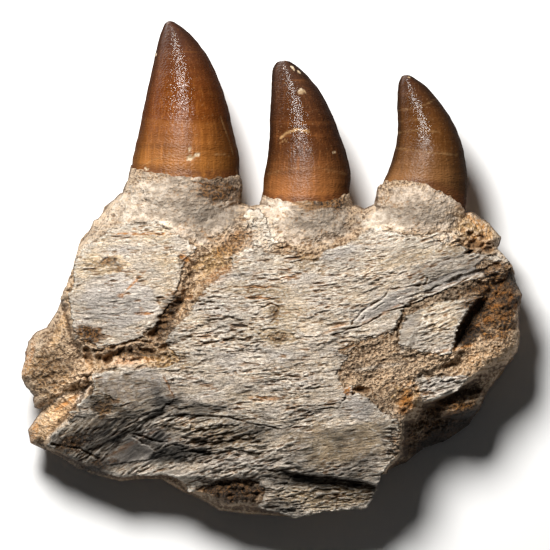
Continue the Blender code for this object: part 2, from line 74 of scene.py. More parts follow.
MM = 0.001
CENTRE = (-0.2, 0.2)          # from the outlines' own origin to the middle of the object's bounds
PLAN_STEP = (0.25, 0.15)
BONE_STEP = (0.36, 0.16)      # finer across the fibres
ROCK_STEP = (0.385, 0.385)
GRID_MARGIN = 5.0             # how far a grid starts out beyond its piece's outline
CREST = 45.0                  # the jaw bone's outer wall, at its highest, above the table
CREST_X = 5.0
CREST_Y = -12.0
BARREL_ALONG = 0.0011         # how fast that wall falls away along the jaw, per mm
BARREL_ACROSS = 0.0032        # and across it
SAND_DEPTH = 2.6              # the rock's face below the bone's
RIM_WIDTH = 7.0               # the rock's rounded rim
RIM_DROP = 8.0
ROCK_MIDDLE_Y = -28.0
BONE_WALL_ROWS = 7            # rows of faces down a side
ROCK_WALL_ROWS = 20
TOOTH_AROUND = 200            # faces round a crown or root
CROWN_RINGS = 140
ROOT_RINGS = 110
CAP_RINGS = 8                 # of them across the hidden end

# ---------------------------------------------------------------- outlines, seen from the front

ROCK = (
    (-46.5, 26.5), (-50.5, 25), (-54, 21.8), (-57.6, 17), (-59.2, 16.2), (-61, 12), (-64, 8.3), (-65.2, 3),
    (-66.5, -2), (-69.2, -8), (-71.5, -14), (-75, -19.5), (-78.6, -21), (-81.2, -24.2), (-82.3, -30.6),
    (-84, -35.8), (-81.8, -39.4), (-79.4, -42.5), (-79.3, -46.4), (-76.8, -47.2), (-79.2, -50.6),
    (-81.6, -54), (-80.8, -58.4), (-74.6, -61.4), (-70.4, -63.6), (-65.4, -67), (-58.2, -69.6),
    (-51, -71.4), (-42, -70.6), (-36.8, -70.8), (-29.6, -75), (-22.8, -77.9), (-17.4, -81.2), (-8, -82.5),
    (3, -83.1), (7.4, -83.4), (11, -81), (20, -78.8), (30.6, -77.6), (34, -72.4), (37, -68.6), (46, -64.8),
    (51, -60.4), (60, -57.2), (66.8, -52.4), (69.6, -47), (73.4, -40.4), (78.6, -33.2), (82.4, -27.4),
    (83.3, -21.4), (82.6, -15), (84, -8.6), (81.8, -4.2), (80.4, 1.2), (77.4, 4.6), (75.6, 7), (77, 10.6),
    (73, 15.2), (67, 19), (62.2, 18.9), (57, 17), (42, 18), (34.4, 21.4), (31, 20), (28, 21.2), (14, 19),
    (-2.6, 21.6), (-6.6, 20.8), (-10.4, 21.6), (-24, 20), (-40, 21),
)
UPPER_PLATE = (
    (-6.3, 7.2), (-6.6, 13), (-9.2, 17.6), (-7.6, 19.8), (-4.2, 19.8), (-1.4, 16.6), (0.2, 10.4), (5, 7.6),
    (9.4, 5.2), (14, 4.4), (19, 6.4), (26, 8.2), (29.4, 10.6), (33, 12.8), (39.6, 12.6), (45, 11),
    (52, 11.2), (58, 12.6), (61.4, 9.6), (65.6, 5.8), (74, 4.4), (79.6, 2.6), (79.6, 0.2), (72, -2.2),
    (65.6, -4.4), (57.4, -7.2), (50, -9.8), (44.4, -12.4), (42.2, -17), (40.6, -20.2), (32.6, -23.4),
    (27.6, -26.4), (23.4, -31.8), (21.4, -35.6), (24.2, -40), (23, -44.6), (14.6, -47.2), (8, -49.8),
    (3.2, -53), (-3.4, -51), (-9.6, -49.6), (-29, -48.4), (-43, -48.6), (-57, -49.2), (-65.4, -48),
    (-64.4, -45.6), (-59.4, -40.2), (-59.6, -35.6), (-52, -33.2), (-43, -33), (-35, -32.6), (-30.6, -30.4),
    (-34.6, -24.6), (-32.8, -20.4), (-27, -15.4), (-24, -8.6), (-19, -4.4), (-12.4, 0.4), (-13.4, 4.4),
)
LOWER_PLATE = (
    (-65, -50.2), (-57, -50.8), (-43, -50.2), (-29, -50), (-9.6, -51.2), (-3.6, -52.8), (3.4, -54.8),
    (9, -51.4), (15.2, -48.8), (23.8, -46.2), (25.8, -42.2), (29, -41.4), (34.6, -45.4), (38.4, -48.6),
    (43.2, -50.4), (42.8, -57), (41.4, -63), (37.4, -67), (36, -70.6), (33.8, -77), (31.8, -80),
    (24, -80.6), (15, -81.6), (7.6, -83.4), (3, -81.4), (-4.6, -79.8), (-2.4, -77), (-2, -73.4),
    (-5, -70.4), (-11, -69.8), (-18, -71), (-23.4, -73.2), (-27.4, -74.8), (-29.4, -70.4), (-37, -68.6),
    (-50, -69.6), (-58, -67.4), (-66, -63.6), (-74.6, -58.6), (-72.6, -54.6), (-67.4, -52.4),
)
REAR_PIECE = (
    (-65.4, 1.6), (-63.2, 5), (-55, 12.2), (-45, 15.4), (-38, 15), (-31.6, 11.8), (-24.6, 7), (-28.4, 3.8),
    (-29.8, -2), (-31.8, -8.6), (-37.4, -16.8), (-43.4, -22.6), (-50, -24.4), (-57, -26.4), (-59.6, -24.4),
    (-65.2, -23), (-66.2, -16), (-67.2, -8.6), (-65.4, -4.2),
)
FRONT_PIECE = (
    (45.8, -15.2), (51.4, -12.8), (58.2, -10.6), (70, -8.8), (65.4, -13.8), (61.4, -20.6), (60.8, -25),
    (59.4, -28.6), (54.6, -28.2), (48, -26.4), (42.8, -25.2), (43, -20.2),
)
SPLINTER = (
    (50.6, -36.6), (57, -35.8), (66, -35.6), (63.4, -39.4), (56.6, -42.6), (51, -44.4), (49.8, -40.6),
)

# Stretches of rock at a level of their own: outline, middle X and Y, height there, rise along X and
# along Y, and the width over which it meets its surroundings
LEVELS = (
    (((-72, -8), (-68.4, -12), (-66, -22), (-61, -31), (-66, -38.4), (-78, -45.4), (-90, -46), (-90, -8)),
      -72, -26, 32, 0.22, 0.05, 1.1),
    (((-66, -38.6), (-59.6, -38), (-64.6, -47.2), (-75.6, -57.6), (-80, -64), (-92, -60), (-80, -46.6)),
      -72, -50, 26, 0.17, 0.24, 1.6),
    (((70.6, -8.2), (65.6, -14), (61.4, -21), (61, -26.4), (68, -22.6), (77, -19.4), (90, -17), (90, -2),
      (80, -2.6)), 73, -13, 32.6, 0.06, -0.1, 2),
    (((60.6, -27.4), (68, -23.4), (77, -20.2), (92, -18), (92, -36), (70, -37), (56, -34.6)), 72, -28, 33,
      -0.22, 0.16, 2.2),
    (((38.6, -67.2), (43.6, -62), (44.4, -50.8), (47.6, -49.4), (50.4, -44.8), (58, -42.8), (67, -37),
      (76, -32.2), (90, -24), (90, -90), (38, -90)), 60, -52, 14, -0.35, 0.6, 2.6),
    (((56, -44.6), (62, -43.4), (70.4, -42), (71, -46), (66.6, -49.2), (57.6, -48.6)), 64, -46, 29.2, -0.16,
      0.3, 1.6),
    (((37, -67.6), (34.4, -77.6), (31.8, -80.4), (8, -83.8), (3, -81.2), (-5, -79.4), (-16, -78.8),
      (-22, -76.8), (-28.6, -73.4), (-31, -69.6), (-37, -68.6), (-50, -69.6), (-58, -67.4), (-70, -61.8),
      (-76, -60), (-90, -90), (45, -90)), -10, -76, 17, 0, 0.05, 1.8),
)
BARE_LEVELS = (0, 1, 2, 4, 6)  # of them, those that no sand has drifted over from the bones

# Each bone: its outline and its underside's height
BONES = {
    "jaw_bone_upper_plate": (UPPER_PLATE, 25),
    "jaw_bone_lower_plate": (LOWER_PLATE, 14),
    "jaw_bone_rear_piece": (REAR_PIECE, 30),
    "jaw_bone_front_piece": (FRONT_PIECE, 25),
    "jaw_bone_splinter": (SPLINTER, 27),
}

# Cracks: path, width and depth
CRACKS = (
    (((20.6, -22), (24.2, -20.6), (32.3, -17.9), (39.1, -13.8), (44.1, -12.9), (51.3, -9.7), (58.1, -7),
      (65.8, -3)), 0.3, 1.3),
    (((26.5, -18.3), (30.5, -13.8), (37.3, -9.7), (39.1, -6.6)), 0.28, 1.2),
    (((28, -18.8), (32, -14.6), (37.6, -11)), 0.18, 0.7),
    (((39.1, -6.6), (44, -6.3), (51.3, -4.8), (52.2, -3)), 0.34, 1.4),
    (((44.3, -13.8), (43.2, -17.4), (42.1, -19.7), (42.1, -25.6)), 0.34, 1.2),
    (((-10, -37), (-6, -32), (-1, -32.5)), 0.22, 0.7),
    (((-36, -35), (-34, -39), (-32, -43)), 0.16, 0.45),
    (((-3, -12.6), (0.6, -11.4), (2.8, -12.8), (2.2, -15.4), (0, -17.6)), 0.3, 0.9),
    (((-41.4, -0.9), (-45.6, -4.1), (-49.8, -8.7), (-53, -13)), 0.14, 0.4),
    (((-44, -14.8), (-41.5, -14.9), (-39.1, -14.4)), 0.34, 0.9),
    (((-23.6, -13.6), (-20.6, -13.3), (-17.5, -13.4)), 0.36, 1.1),
    (((-11.8, -6), (-5, -5.7), (2.7, -6.2)), 0.26, 0.6),
    (((-8, -9.3), (-4, -9.7), (-0.3, -9.4)), 0.34, 0.8),
    (((3.1, -2.9), (5.6, -2.6), (8.4, -2.8)), 0.26, 0.7),
    (((6.5, 2.2), (9.6, 2.6)), 0.22, 0.7),
    (((4.2, -6.8), (4.6, -8.9)), 0.3, 0.8),
    (((-59, -27.2), (-55, -26.8), (-50, -24.9), (-44, -23.6), (-40, -24.6), (-31, -25.8)), 0.45, 1.3),
    (((-27.8, 5), (-29.2, 0.4), (-29.9, -4.1), (-31.5, -8), (-33.8, -12.1), (-36.8, -16.7)), 0.22, 0.5),
    (((6.7, -69), (4.6, -72.4), (2.4, -76)), 0.24, 0.8),
    (((22.2, -75.6), (22, -80)), 0.26, 0.9),
    (((13, -71), (12.2, -75.4), (11, -79)), 0.18, 0.5),
    (((30, -51.8), (35, -54.6), (39, -57)), 0.2, 0.5),
    (((-1.9, 18), (-5.7, 12.6), (-6, 6.2)), 0.26, 0.8),
    (((0.8, 8), (3, 7.1), (5.4, 7.7), (9, 6.4)), 0.3, 0.8),
    (((-26, 29), (-20, 27.6), (-14, 24.4)), 0.5, 1.2),
    (((-27, 26.4), (-19, 25.4), (-15, 22.6)), 0.3, 0.7),
    (((38.2, 14.2), (43.2, 11.5), (48.6, 11.1), (54.1, 12), (55.9, 12.9)), 0.3, 0.7),
    (((7.3, 22.2), (12, 21), (17, 20.9), (22.5, 23)), 0.7, 1.3),
    (((21, 11), (26, 12.6), (29.4, 11)), 0.3, 0.7),
    (((14, 4.6), (19, 6.6), (24, 8.4), (29, 10.8)), 0.22, 0.6),
    (((-45.7, -55), (-38.7, -57), (-29.2, -59.5)), 0.5, 1.3),
    (((-31, -48.4), (-24, -48.8), (-15, -49), (-6, -51.4), (4.7, -53.6)), 0.4, 1.1),
    (((4.7, -53.6), (9.7, -50.8), (13.2, -47.2), (22.2, -46), (24.7, -42.5)), 0.3, 0.9),
    (((-73, -58.4), (-64, -60), (-58, -63.4)), 0.6, 1.4),
)

# Broken edges: path, drop on the path's right-hand side (a rise where it is negative), and how far it lasts
SCARPS = (
    (((-60, -59.5), (-54, -57), (-48.7, -54), (-40, -48.5), (-33.2, -44)), 1, 5),
    (((-47.2, -55.5), (-43, -58), (-39.2, -60.2)), -0.6, 4),
    (((-51.7, -67.7), (-46, -65.6), (-40.2, -63.5), (-35.2, -64)), -0.6, 3),
    (((-33, -62.6), (-30.4, -60.6), (-27, -62.4)), -0.5, 3),
    (((-30.3, -68.5), (-23.8, -66.5), (-17.8, -65), (-14.3, -64), (-6.8, -64.3)), -0.75, 3),
    (((-25.8, -70.5), (-23.3, -69), (-16.8, -69.5), (-11.8, -68), (-10.3, -67.5), (-5.8, -64), (0.2, -61),
      (7.2, -56.5)), -0.75, 3.4),
    (((2.7, -65), (5.7, -63.5), (12.7, -66)), -0.5, 2),
    (((-28, -55.8), (-20, -57.6), (-10, -55.6), (-2, -57)), 0.9, 3.4),
    (((-27, -60), (-20, -61.4), (-12, -59.4), (-5, -61.4)), 0.8, 3),
    (((-35, -52), (-26, -53.2), (-15, -52.2)), 0.6, 3),
    (((-42, -34), (-36, -33), (-28, -33.8)), 0.5, 3),
    (((-25, -19.4), (-19, -16.2), (-13, -15.6), (-8, -17.4)), 0.8, 3.4),
    (((-33, -24.4), (-26, -21.6), (-18, -20.8)), 0.6, 3),
    (((-24, -31), (-15, -27.6), (-5, -26.6), (4, -28.6)), 0.4, 3),
    (((2, -37), (10, -34.4), (21, -33.6)), 0.4, 3),
    (((-30, -46), (-22, -45), (-12, -46)), 0.5, 2.6),
    (((52, -7), (60, -3), (72, 1)), 0.9, 3.4),
    (((30, -4), (40, -1.4), (52, 1.4), (63, 4.6)), 0.4, 3),
    (((44.6, -25.2), (46.6, -21.4), (48.7, -19), (52, -15.6)), -0.9, 5),
    (((30, -52), (36, -55.4), (40.4, -60.4)), 0.3, 3),
    (((-20, -3.4), (-10, -1.8), (2, -2.6)), 0.2, 2.4),
    (((-60, -36.6), (-61.4, -43), (-65, -47.8)), 0.5, 3),
)

# Flat facets of broken bone: outline, rise, how smooth, tone and warmth
FACETS = (
    (((27, -17.4), (31.4, -12.4), (37.6, -8.6), (44.6, -12), (39.2, -13.4), (32.4, -17.2)), -0.25, 0.8,
      -0.1, -0.8),
    (((43.2, -15), (50.2, -15.6), (48.8, -21.6), (47, -27.8), (42.6, -26.8)), -0.5, 0.9, -0.42, -0.1),
    (((-54.7, -62), (-47.2, -55.5), (-38.7, -60.5), (-40.2, -63.5), (-54.7, -65.5)), 0.3, 0.85, 0.06, -0.7),
    (((50, -5.6), (58, -1.8), (68, 1), (70, -1.2), (62, -4.6), (53, -8.4)), -0.3, 0.6, -0.16, -0.5),
    (((-9.4, 19.6), (-1.6, 17.4), (0.4, 10.6), (5.6, 8), (-5.6, 4.6), (-7, 13)), 0, 0.45, -0.06, 0.1),
    (((-62, -4), (-50, -1), (-40, -6), (-36, -14), (-50, -20), (-61, -14)), 0, 0.4, 0, -0.4),
    (((-57, -35), (-46, -33.6), (-36, -35), (-37, -41), (-47, -44), (-57, -42)), 0, 0.5, -0.06, -0.4),
    (((14, -51), (24, -48.6), (36, -52), (38, -61), (26, -64), (14, -62)), 0, 0.5, 0, 0.2),
    (((8.8, -17.6), (15, -16), (22, -17.8), (19, -21.6), (11, -22)), -0.15, 0.6, 0, 0.2),
    (((-6, -20.6), (-1, -19.4), (6.4, -20.6), (9.4, -23.2), (3, -25.8), (-3, -23.6)), -0.35, 0.3, -0.1,
      0.6),
    (((-58, -2), (-56, 3.4), (-50, 4.8), (-46.4, 1.4), (-51, -1.4)), -0.15, 0.4, -0.1, 0.8),
)

# Patches: X, Y, half length, half width, turn in degrees and strength
PITS = (
    (1.6, -15.4, 2, 0.8, 60, 0.6), (30.4, -40.2, 2.6, 1.2, 0, 2.2), (21.8, -18.6, 4.6, 0.9, 12, 0.7),
    (-54.4, -30, 1.8, 1.5, 50, 3), (-41, -27.4, 2.6, 1.1, 0, 2.2), (-61, -29, 1.4, 3.4, 20, 2.4),
    (68, 8, 3.6, 1.4, 10, 1.8), (-36, -26.4, 1.6, 1, 0, 1.6), (71, 11, 1.6, 1.2, 0, 1.4),
    (-60, -40.6, 1.2, 1.3, 0, 1.5), (-61.6, -37, 1, 1.1, 0, 1.3), (-39, -21.6, 2, 1.4, 30, 1.6),
    (-36, -17.4, 1.4, 2.4, 20, 1.4), (66.4, 5.8, 2.2, 0.8, 15, 1.8), (72.6, 6.4, 1.6, 1.2, 0, 1.8),
    (64, 13, 1.4, 0.8, 30, 1.2), (75, 1.4, 1.6, 0.8, -20, 1.4), (15, 20.6, 7, 1, 0, 0.8),
)
OCHRE = (
    (-50, -41, 12, 6, 10, 0.6), (-56, -62, 9, 3, 20, 0.5), (-20, -52, 16, 3, 4, 0.4),
    (-57, 0.6, 6, 3.4, -10, 0.45), (-36, -29.6, 10, 3.4, -4, 0.9), (-55.4, -46, 4.6, 4.8, 60, 0.9),
    (-19, 3, 8, 3.6, 28, 0.8), (3, -22.4, 7, 3, 0, 0.5), (-4, -7.6, 9, 3, 2, 0.55),
    (2, -14, 5, 3.4, 80, 0.8), (12.6, 2.2, 5, 3, -20, 0.7), (-24, -9, 4, 2, 0, 0.6),
    (-62, -54, 8, 2.6, 25, 0.6), (22, -75, 13, 4, 0, 0.62), (44.6, -43.4, 3.6, 4.6, 80, 0.8),
    (12, -55, 9, 3, 25, 0.5), (-30, -41, 8, 3, 20, 0.3), (26, -60, 13, 5, 20, 0.5),
    (60, 6.6, 6, 2.4, 10, 0.5), (69, 12, 9, 6, -30, 0.8), (-75, -35, 9, 9, 0, 0.45),
    (6, -32, 9, 2, 4, 0.35), (45, 3.4, 9, 1.6, 10, 0.4), (-15, -56, 12, 3.6, 0, 0.5),
)
# Brown stains, and painted shade where shadows fall: the rear root's right side, the wall at the lower right,
# the hollow at the right and the foot of the middle crown
BROWN_AND_PAINTED_SHADE = (
    (-53, 2, 5, 2.2, -14, 0.75), (-60.2, -21.8, 6, 2.8, -20, 1), (-12, -73.8, 10.6, 4.6, -3, 1),
    (-55.6, -47, 3.6, 3.2, 60, 0.7), (44.8, -44, 4.4, 2.8, 80, 1), (-66, -58, 8, 3, 20, 0.8),
    (-58, -66, 10, 2.4, 15, 0.8), (-46, -28, 11, 2.2, -3, 0.7), (-12, 8.4, 7, 3.6, 30, 0.75),
    (-34.4, -15.4, 3, 10, -26, 0.9), (75, -11, 14, 11, 60, 1), (66, -21.4, 6, 3, 35, 1),
    (60, -55, 22, 8, 35, 1), (-74, -35, 7, 6, 30, 0.45), (3, -23.4, 4.6, 0.9, 0, 0.4),
    (67, 8, 6, 2.6, -10, 0.5), (-18, 26, 7, 4.4, -10, 0.95), (17, 22.4, 9, 3, 0, 1),
    (-20, -57, 9, 3, 5, 0.5), (1, -14.6, 3.4, 1.2, 60, 0.55), (-27.4, 1, 1.6, 5, 14, 0.5),
    (60, -45.4, 9, 2.6, 20, 0.9),
)
CREAM = (
    (-44, 14.2, 13, 1.9, 3, 1), (-3.4, 12, 8.6, 5.4, 80, 0.85), (34, 15, 7, 3.4, 68, 0.6),
    (-62.4, -42, 6, 1.8, 68, 0.9), (-70, -53.6, 7, 1.5, 40, 1), (49.8, -37.4, 3, 1.8, 80, 1),
    (-50.5, 21, 4, 8, 30, 0.5), (43, 8.6, 13, 3, -6, 0.9), (59, 10.4, 5, 2.2, 10, 0.9),
    (55.5, -15, 8, 3.4, 22, 0.7), (-61.6, 6.4, 1.8, 9, -40, 0.95), (-47, -31, 8, 1.6, 0, 0.8),
    (76, 4.4, 2, 2.4, 0, 0.9), (75.2, 9.6, 1.4, 1.8, 0, 0.9), (77.4, 2.2, 1.6, 1.4, 0, 0.8),
    (2, 20.4, 4.4, 3.8, 40, 0.7), (45.5, -24.8, 4.6, 1, 52, 0.9), (-42, 24, 8, 8, 0, 0.3),
    (-38, 18, 20, 4.6, 0, 0.12), (0, 19, 5, 5, 0, 0.6), (38, 16, 5, 8, 30, 0.45), (-58, 15, 8, 6, 40, 0.35),
    (-6.4, -49.4, 4.6, 1.8, -12, 0.6), (35.4, -32.6, 9, 0.7, 8, 0.7), (-80, -28.4, 6, 2, 55, 0.55),
    (29, -79.4, 6, 0.9, 10, 0.9), (-72, -43.6, 8, 0.8, 33, 0.7), (40, -55, 3, 8, 0, 0.4),
)
# Where the colour is darker (below 0) or brighter than the cleaned bone at the top rear: partly the surface's
# own tone, partly painted shade where shadows fall and painted light on shaded ledges and notches
TONE_AND_PAINTED_LIGHT = (
    (-4, 18.4, 7, 5, 0, 0.12), (39, 11, 7, 4, 0, 0.3), (67, 14, 9, 4, -30, 0.3),
    (-74, -34, 8, 8, 20, -0.12), (-52, -14, 11, 7, 0, -0.26), (-68, -42, 11, 5, 45, 0.95),
    (-34, -22, 4, 4, 0, -0.35), (-34, -62, 9, 3.4, 10, -0.84), (-40, -46, 14, 3.6, 10, -0.84),
    (-53, -53, 7, 3.6, 30, -0.7), (63, -46.4, 7, 2.6, 14, 0.5), (47, -14, 4, 4, 0, -0.16),
    (-28, -46.4, 15, 2.8, 2, -0.66), (-26, -61.6, 8, 3, 10, -0.68), (4, -79.4, 8, 3.4, 0, -0.66),
    (14, -30, 8, 4, 0, 0.22), (38, -14, 5, 3, 30, -0.25), (-50, 6, 12, 7, 10, 0.14),
    (47, -38.4, 6, 3, 80, 0.4), (-14, 8, 20, 4.4, 10, 0.25), (10, 9, 9, 3.4, 0, 0.1),
    (60, 10, 6, 3, 0, 0.35), (-27, -3, 3.4, 8, -25, 0.3), (-30, -12.6, 2, 6, -25, 0.25),
    (-50, -30, 16, 2, -3, 0.4), (-63, -37, 4, 9, -10, 0.75), (-72, -50, 9, 4.6, 46, 0.32),
    (-55, -53, 11, 5, 30, -0.5), (-12, -55, 12, 6, 0, -0.42), (15, -70.4, 23, 3.4, -5, -0.7),
    (70, -27, 16, 6, 22, 0.32), (56, -31, 14, 4, 10, 0.3), (42, -36, 12, 4, 10, 0.3),
    (55, -15.5, 7, 5, 20, 0.18), (2, -47, 18, 2.6, 8, -0.25), (-3, -62, 14, 4, 10, -0.22),
    (-50, -42, 17, 7, 10, -0.52), (-54, -61, 24, 9, 12, -0.58), (-14, -57, 26, 7, 0, -0.28),
    (60, 0, 15, 5, 20, -0.36), (62, -7.4, 8, 2.6, 20, -0.55), (17, -76.6, 18, 4.4, 0, -0.22),
    (24, -60, 20, 8, 10, -0.5), (70.6, -15.4, 6.4, 5, 62, -0.48), (79.6, -8, 9, 4.8, 78, -0.58),
    (65.6, -22, 6, 3, 32, -0.8), (60, -58, 24, 8, 38, -0.8), (-18, 26, 8, 6, 0, -0.5),
    (-21, 18, 12, 5, 0, -0.42), (-31, 25, 12, 7, 0, -0.31), (47, 19, 10, 4.6, 0, -0.28),
    (-34.4, -15.4, 3.6, 10, -26, -0.4), (57, -38.6, 8, 4, 20, 0.1), (28, -28, 7, 2, 20, -0.15),
    (18, 17, 11, 7, 0, -0.46), (-45, -27.6, 12, 2, 0, -0.3), (-15, -18.4, 9, 1.6, 5, -0.25),
    (-12, -74, 11, 5, 0, -0.45), (2, -34, 16, 5, 0, 0.16), (16, -53, 8, 4, 0, 0.1),
    (-80, -60, 10, 3, 0, -0.3), (16, -46.6, 8, 1.6, 10, -0.4), (29, -69.6, 10, 4, 0, -0.5),
    (79, -22.6, 5, 3, 20, 0.45), (76, -12.4, 8, 5, 60, -0.34), (-12, -73.8, 9, 4, -3, 0.3),
)
RUST = (
    (77, -5, 4.4, 0.7, 66, 1), (79.8, -9.4, 3.4, 0.8, 80, 1), (75, -12.2, 3.6, 0.7, 12, 1),
    (78.4, -15.2, 3.2, 0.7, 36, 1), (72.4, -16.4, 3, 0.6, 30, 1), (72, -10.2, 2.4, 0.5, 10, 1),
    (81.4, -13.4, 2.6, 0.8, 84, 1), (68.4, -19, 2.6, 0.5, 40, 1), (76.4, -8.6, 2.4, 0.6, 30, 1),
    (-42, 11.7, 11, 0.45, 0, 1), (-45, -4, 6, 0.35, 46, 0.9), (-34, -39, 4.4, 0.4, -64, 0.9),
    (25.6, -40.6, 1.7, 1.5, 0, 1), (21.5, -19.6, 4.6, 0.8, 22, 0.6), (70, 9, 5, 4, 0, 0.4),
    (72, -17, 5, 1, 30, 0.6), (45, -45, 3, 3.4, 0, 0.6), (-81.6, -31, 8, 1.6, 72, 0.7),
    (-80, -55, 5, 2, 75, 0.7), (-42, -14.8, 3.4, 0.6, 0, 0.9), (-28.6, 3.6, 2.2, 0.8, -35, 0.9),
    (-46, -30.6, 9, 1.2, 4, 0.5), (36, -15.4, 12, 0.6, 27, 0.6), (68, 16.4, 8, 1.4, -40, 0.5),
    (-68, -44.6, 6, 0.8, 32, 0.7), (-4, -9.5, 5, 0.7, 0, 0.9), (-5, -5.9, 7.5, 0.5, 0, 0.7),
    (5.6, -2.8, 3, 0.6, 0, 0.8), (-33, -8, 2.6, 0.7, 20, 0.6), (-49.6, -8.9, 1.6, 0.8, 0, 0.8),
    (-1.8, -43, 6, 0.8, 0, 0.8), (-17, -2, 6, 2, 30, 0.45), (-46, -58, 12, 0.8, 28, 0.5),
    (-27, -9.4, 1.8, 1.2, 0, 0.7), (60, -26.8, 8, 0.7, 12, 0.6),
)
# Where the bone's flaking is coarse (above 0) or worn smooth (below 0)
FLAKING = (
    (-16, -21, 18, 8, 8, 0.9), (-42, -52, 14, 5, 25, 0.8), (-17, -57, 16, 7, 5, 1.2),
    (-46, -61, 9, 5, 15, -0.6), (-50, 5, 13, 6, 0, -0.7), (50, 3, 20, 5, 10, -0.2),
    (22, -57, 14, 7, 15, -0.25), (30, -46, 6, 4, 20, -0.5), (18, -75, 16, 5, 0, 0.4),
    (40, -8.4, 8, 4, 22, -0.6), (-20, -40, 12, 5, 10, -0.5), (57, -38.6, 8, 5, 20, 0.9),
    (41, -56, 3, 9, 0, 1.3), (12, -46.6, 12, 2.4, 15, 0.9), (-10, -66, 20, 3, 8, 0.7),
    (16, -10, 18, 12, 0, 0.3), (10, -36, 14, 6, 5, 0.25),
)
# Where sand thinly covers the bone (above 0), or stone is more like fine plaster than sand (below 0)
DUSTED = (
    (63, -6.6, 8, 1.8, 22, 0.9), (-3, 13, 9, 5.6, 80, 0.7), (74, 1, 7, 2.4, 0, 0.8),
    (36, 15, 7, 5, 60, -0.95), (3, 6.6, 5, 2.4, 0, 0.8), (13, 4.4, 5, 2.4, 0, 0.7),
    (28, -25.6, 8, 2.2, 25, 0.6), (-27, -4, 3, 10, 25, 0.5), (-55.6, -46, 4.4, 4, 60, 0.7),
    (-53.6, 2.2, 4, 2.2, -12, 0.4), (-62, -21.6, 4, 2.6, -20, 0.5), (-62, -38, 3, 6, 20, 0.8),
    (42, -57, 2.4, 9, 0, 0.6), (-36, -29.6, 9, 2.6, -4, 0.7), (59, 10, 6, 3, 0, 0.6),
    (-66, -58, 8, 2.6, 20, 0.7), (-68, -50, 7, 1.4, 40, 0.7), (3, -22.6, 4.4, 1.6, 0, 0.6),
    (-30, 20, 24, 13, 0, -0.9), (9, 16, 20, 9, 0, -0.85), (50, 20, 18, 9, 0, -0.85),
    (-72, -50, 10, 5, 46, -0.35),
)
# Where sand is bright orange-tan: partly its own colour, partly a painted highlight along lit edges
GOLD_AND_HIGHLIGHT = (
    (-74, -51, 10, 5.4, 46, 0.85), (-81, -31, 9, 2.2, 65, 0.9), (-70, -19, 12, 1.5, 64, 0.7),
    (-66.4, -5, 10, 1.3, 76, 0.7), (-72, -43.4, 8, 1, 33, 1), (-21, -1, 9, 1.3, 42, 0.6),
    (-28, -10, 7, 1.1, 62, 0.6), (-46, -31, 10, 1.4, 4, 0.8), (69, 14.4, 10, 3, -35, 0.7),
    (77, -6, 4, 0.8, 60, 0.7), (74, -12.6, 3.6, 0.7, 10, 0.8), (78, -14, 3, 0.7, 40, 0.8),
    (74.6, -18.6, 6, 0.8, 40, 0.7), (48.4, -42, 6, 1.1, 74, 0.9), (29, -79.4, 6, 1, 8, 1),
    (-68, -60.4, 9, 1, 22, 0.5), (62, -27, 10, 0.9, 12, 0.5), (-19, 4, 7, 2, 30, 0.6),
    (-57, -31.4, 6, 1.8, 20, 0.7), (72, -30, 14, 4, 24, 0.35), (62, -46, 7, 1, 16, 0.6),
    (-12, -76.6, 9, 1.4, 0, 0.5), (-64, 4, 8, 1, 52, 0.8), (-10, 23.6, 3, 1.4, 90, 0.6),
    (-2.6, 24, 2.6, 1, 80, 0.5), (27.4, 22.6, 3, 1.2, 90, 0.6), (78, -15, 6, 1.4, 30, 0.6),
)
# Where sand has broken into coarse crumbs
CRUMBLY = (
    (-34, -14, 4, 12, -28, 1), (-26, 0, 4, 9, -28, 0.6), (-46, -28.4, 14, 3, -3, 1),
    (-76, -34, 9, 8, 20, 0.5), (68, 9, 8, 5, -20, 1.3), (-61.6, -36, 3, 8, 0, 1), (76, -10, 9, 9, 0, 0.7),
    (-12, -74, 11, 4.6, 0, 0.8), (45, -44, 5, 4, 80, 0.6), (-67, -2, 2, 12, -10, 0.8),
    (41.6, -57, 2.6, 9, 0, 0.8), (-66, -58, 8, 3, 20, 0.5),
)
# Where sand lies in long combed ridges
COMBED = ((38, -31, 24, 7, 14, 1), (70, -30, 10, 6, 15, 0.6))
# Where bone is warm and creamy (above 0) rather than cool grey (below 0)
WARMTH = (
    (-33, -2, 4, 14, 15, 0.6), (-48, 11, 16, 4, 4, 0.5), (-60, 0, 6, 7, 0, 0.7),
    (-52, -12, 14, 8, 10, -0.6), (-14, -12, 13, 5, 0, -0.4), (5, -14, 8, 6, 0, 0.6),
    (-4, -7, 12, 5, 0, 0.3), (14, -4, 10, 3, 10, -0.3), (42, -9.6, 7, 3, 22, -0.9),
    (-5, -30, 20, 4, 5, -0.5), (10, -38, 14, 4, 5, -0.3), (48, 4, 18, 4, 12, 0.4), (56, -15, 8, 6, 20, 0.8),
    (57, -38.6, 8, 4, 20, -0.7), (28, -47, 8, 5, 20, -0.7), (24, -59, 14, 6, 15, 0.7),
    (34, -62, 6, 4, 20, -0.4), (-46, -60, 14, 6, 20, -0.8), (-30, -41, 14, 5, 10, -0.3),
    (20, -76, 18, 5, 0, 1.1), (-15, -55, 14, 4, 0, 0.8), (-12, -66, 18, 3, 10, -0.5),
    (22, 5.6, 8, 2, 15, -0.9), (62, 1, 10, 4, 20, -0.3),
)


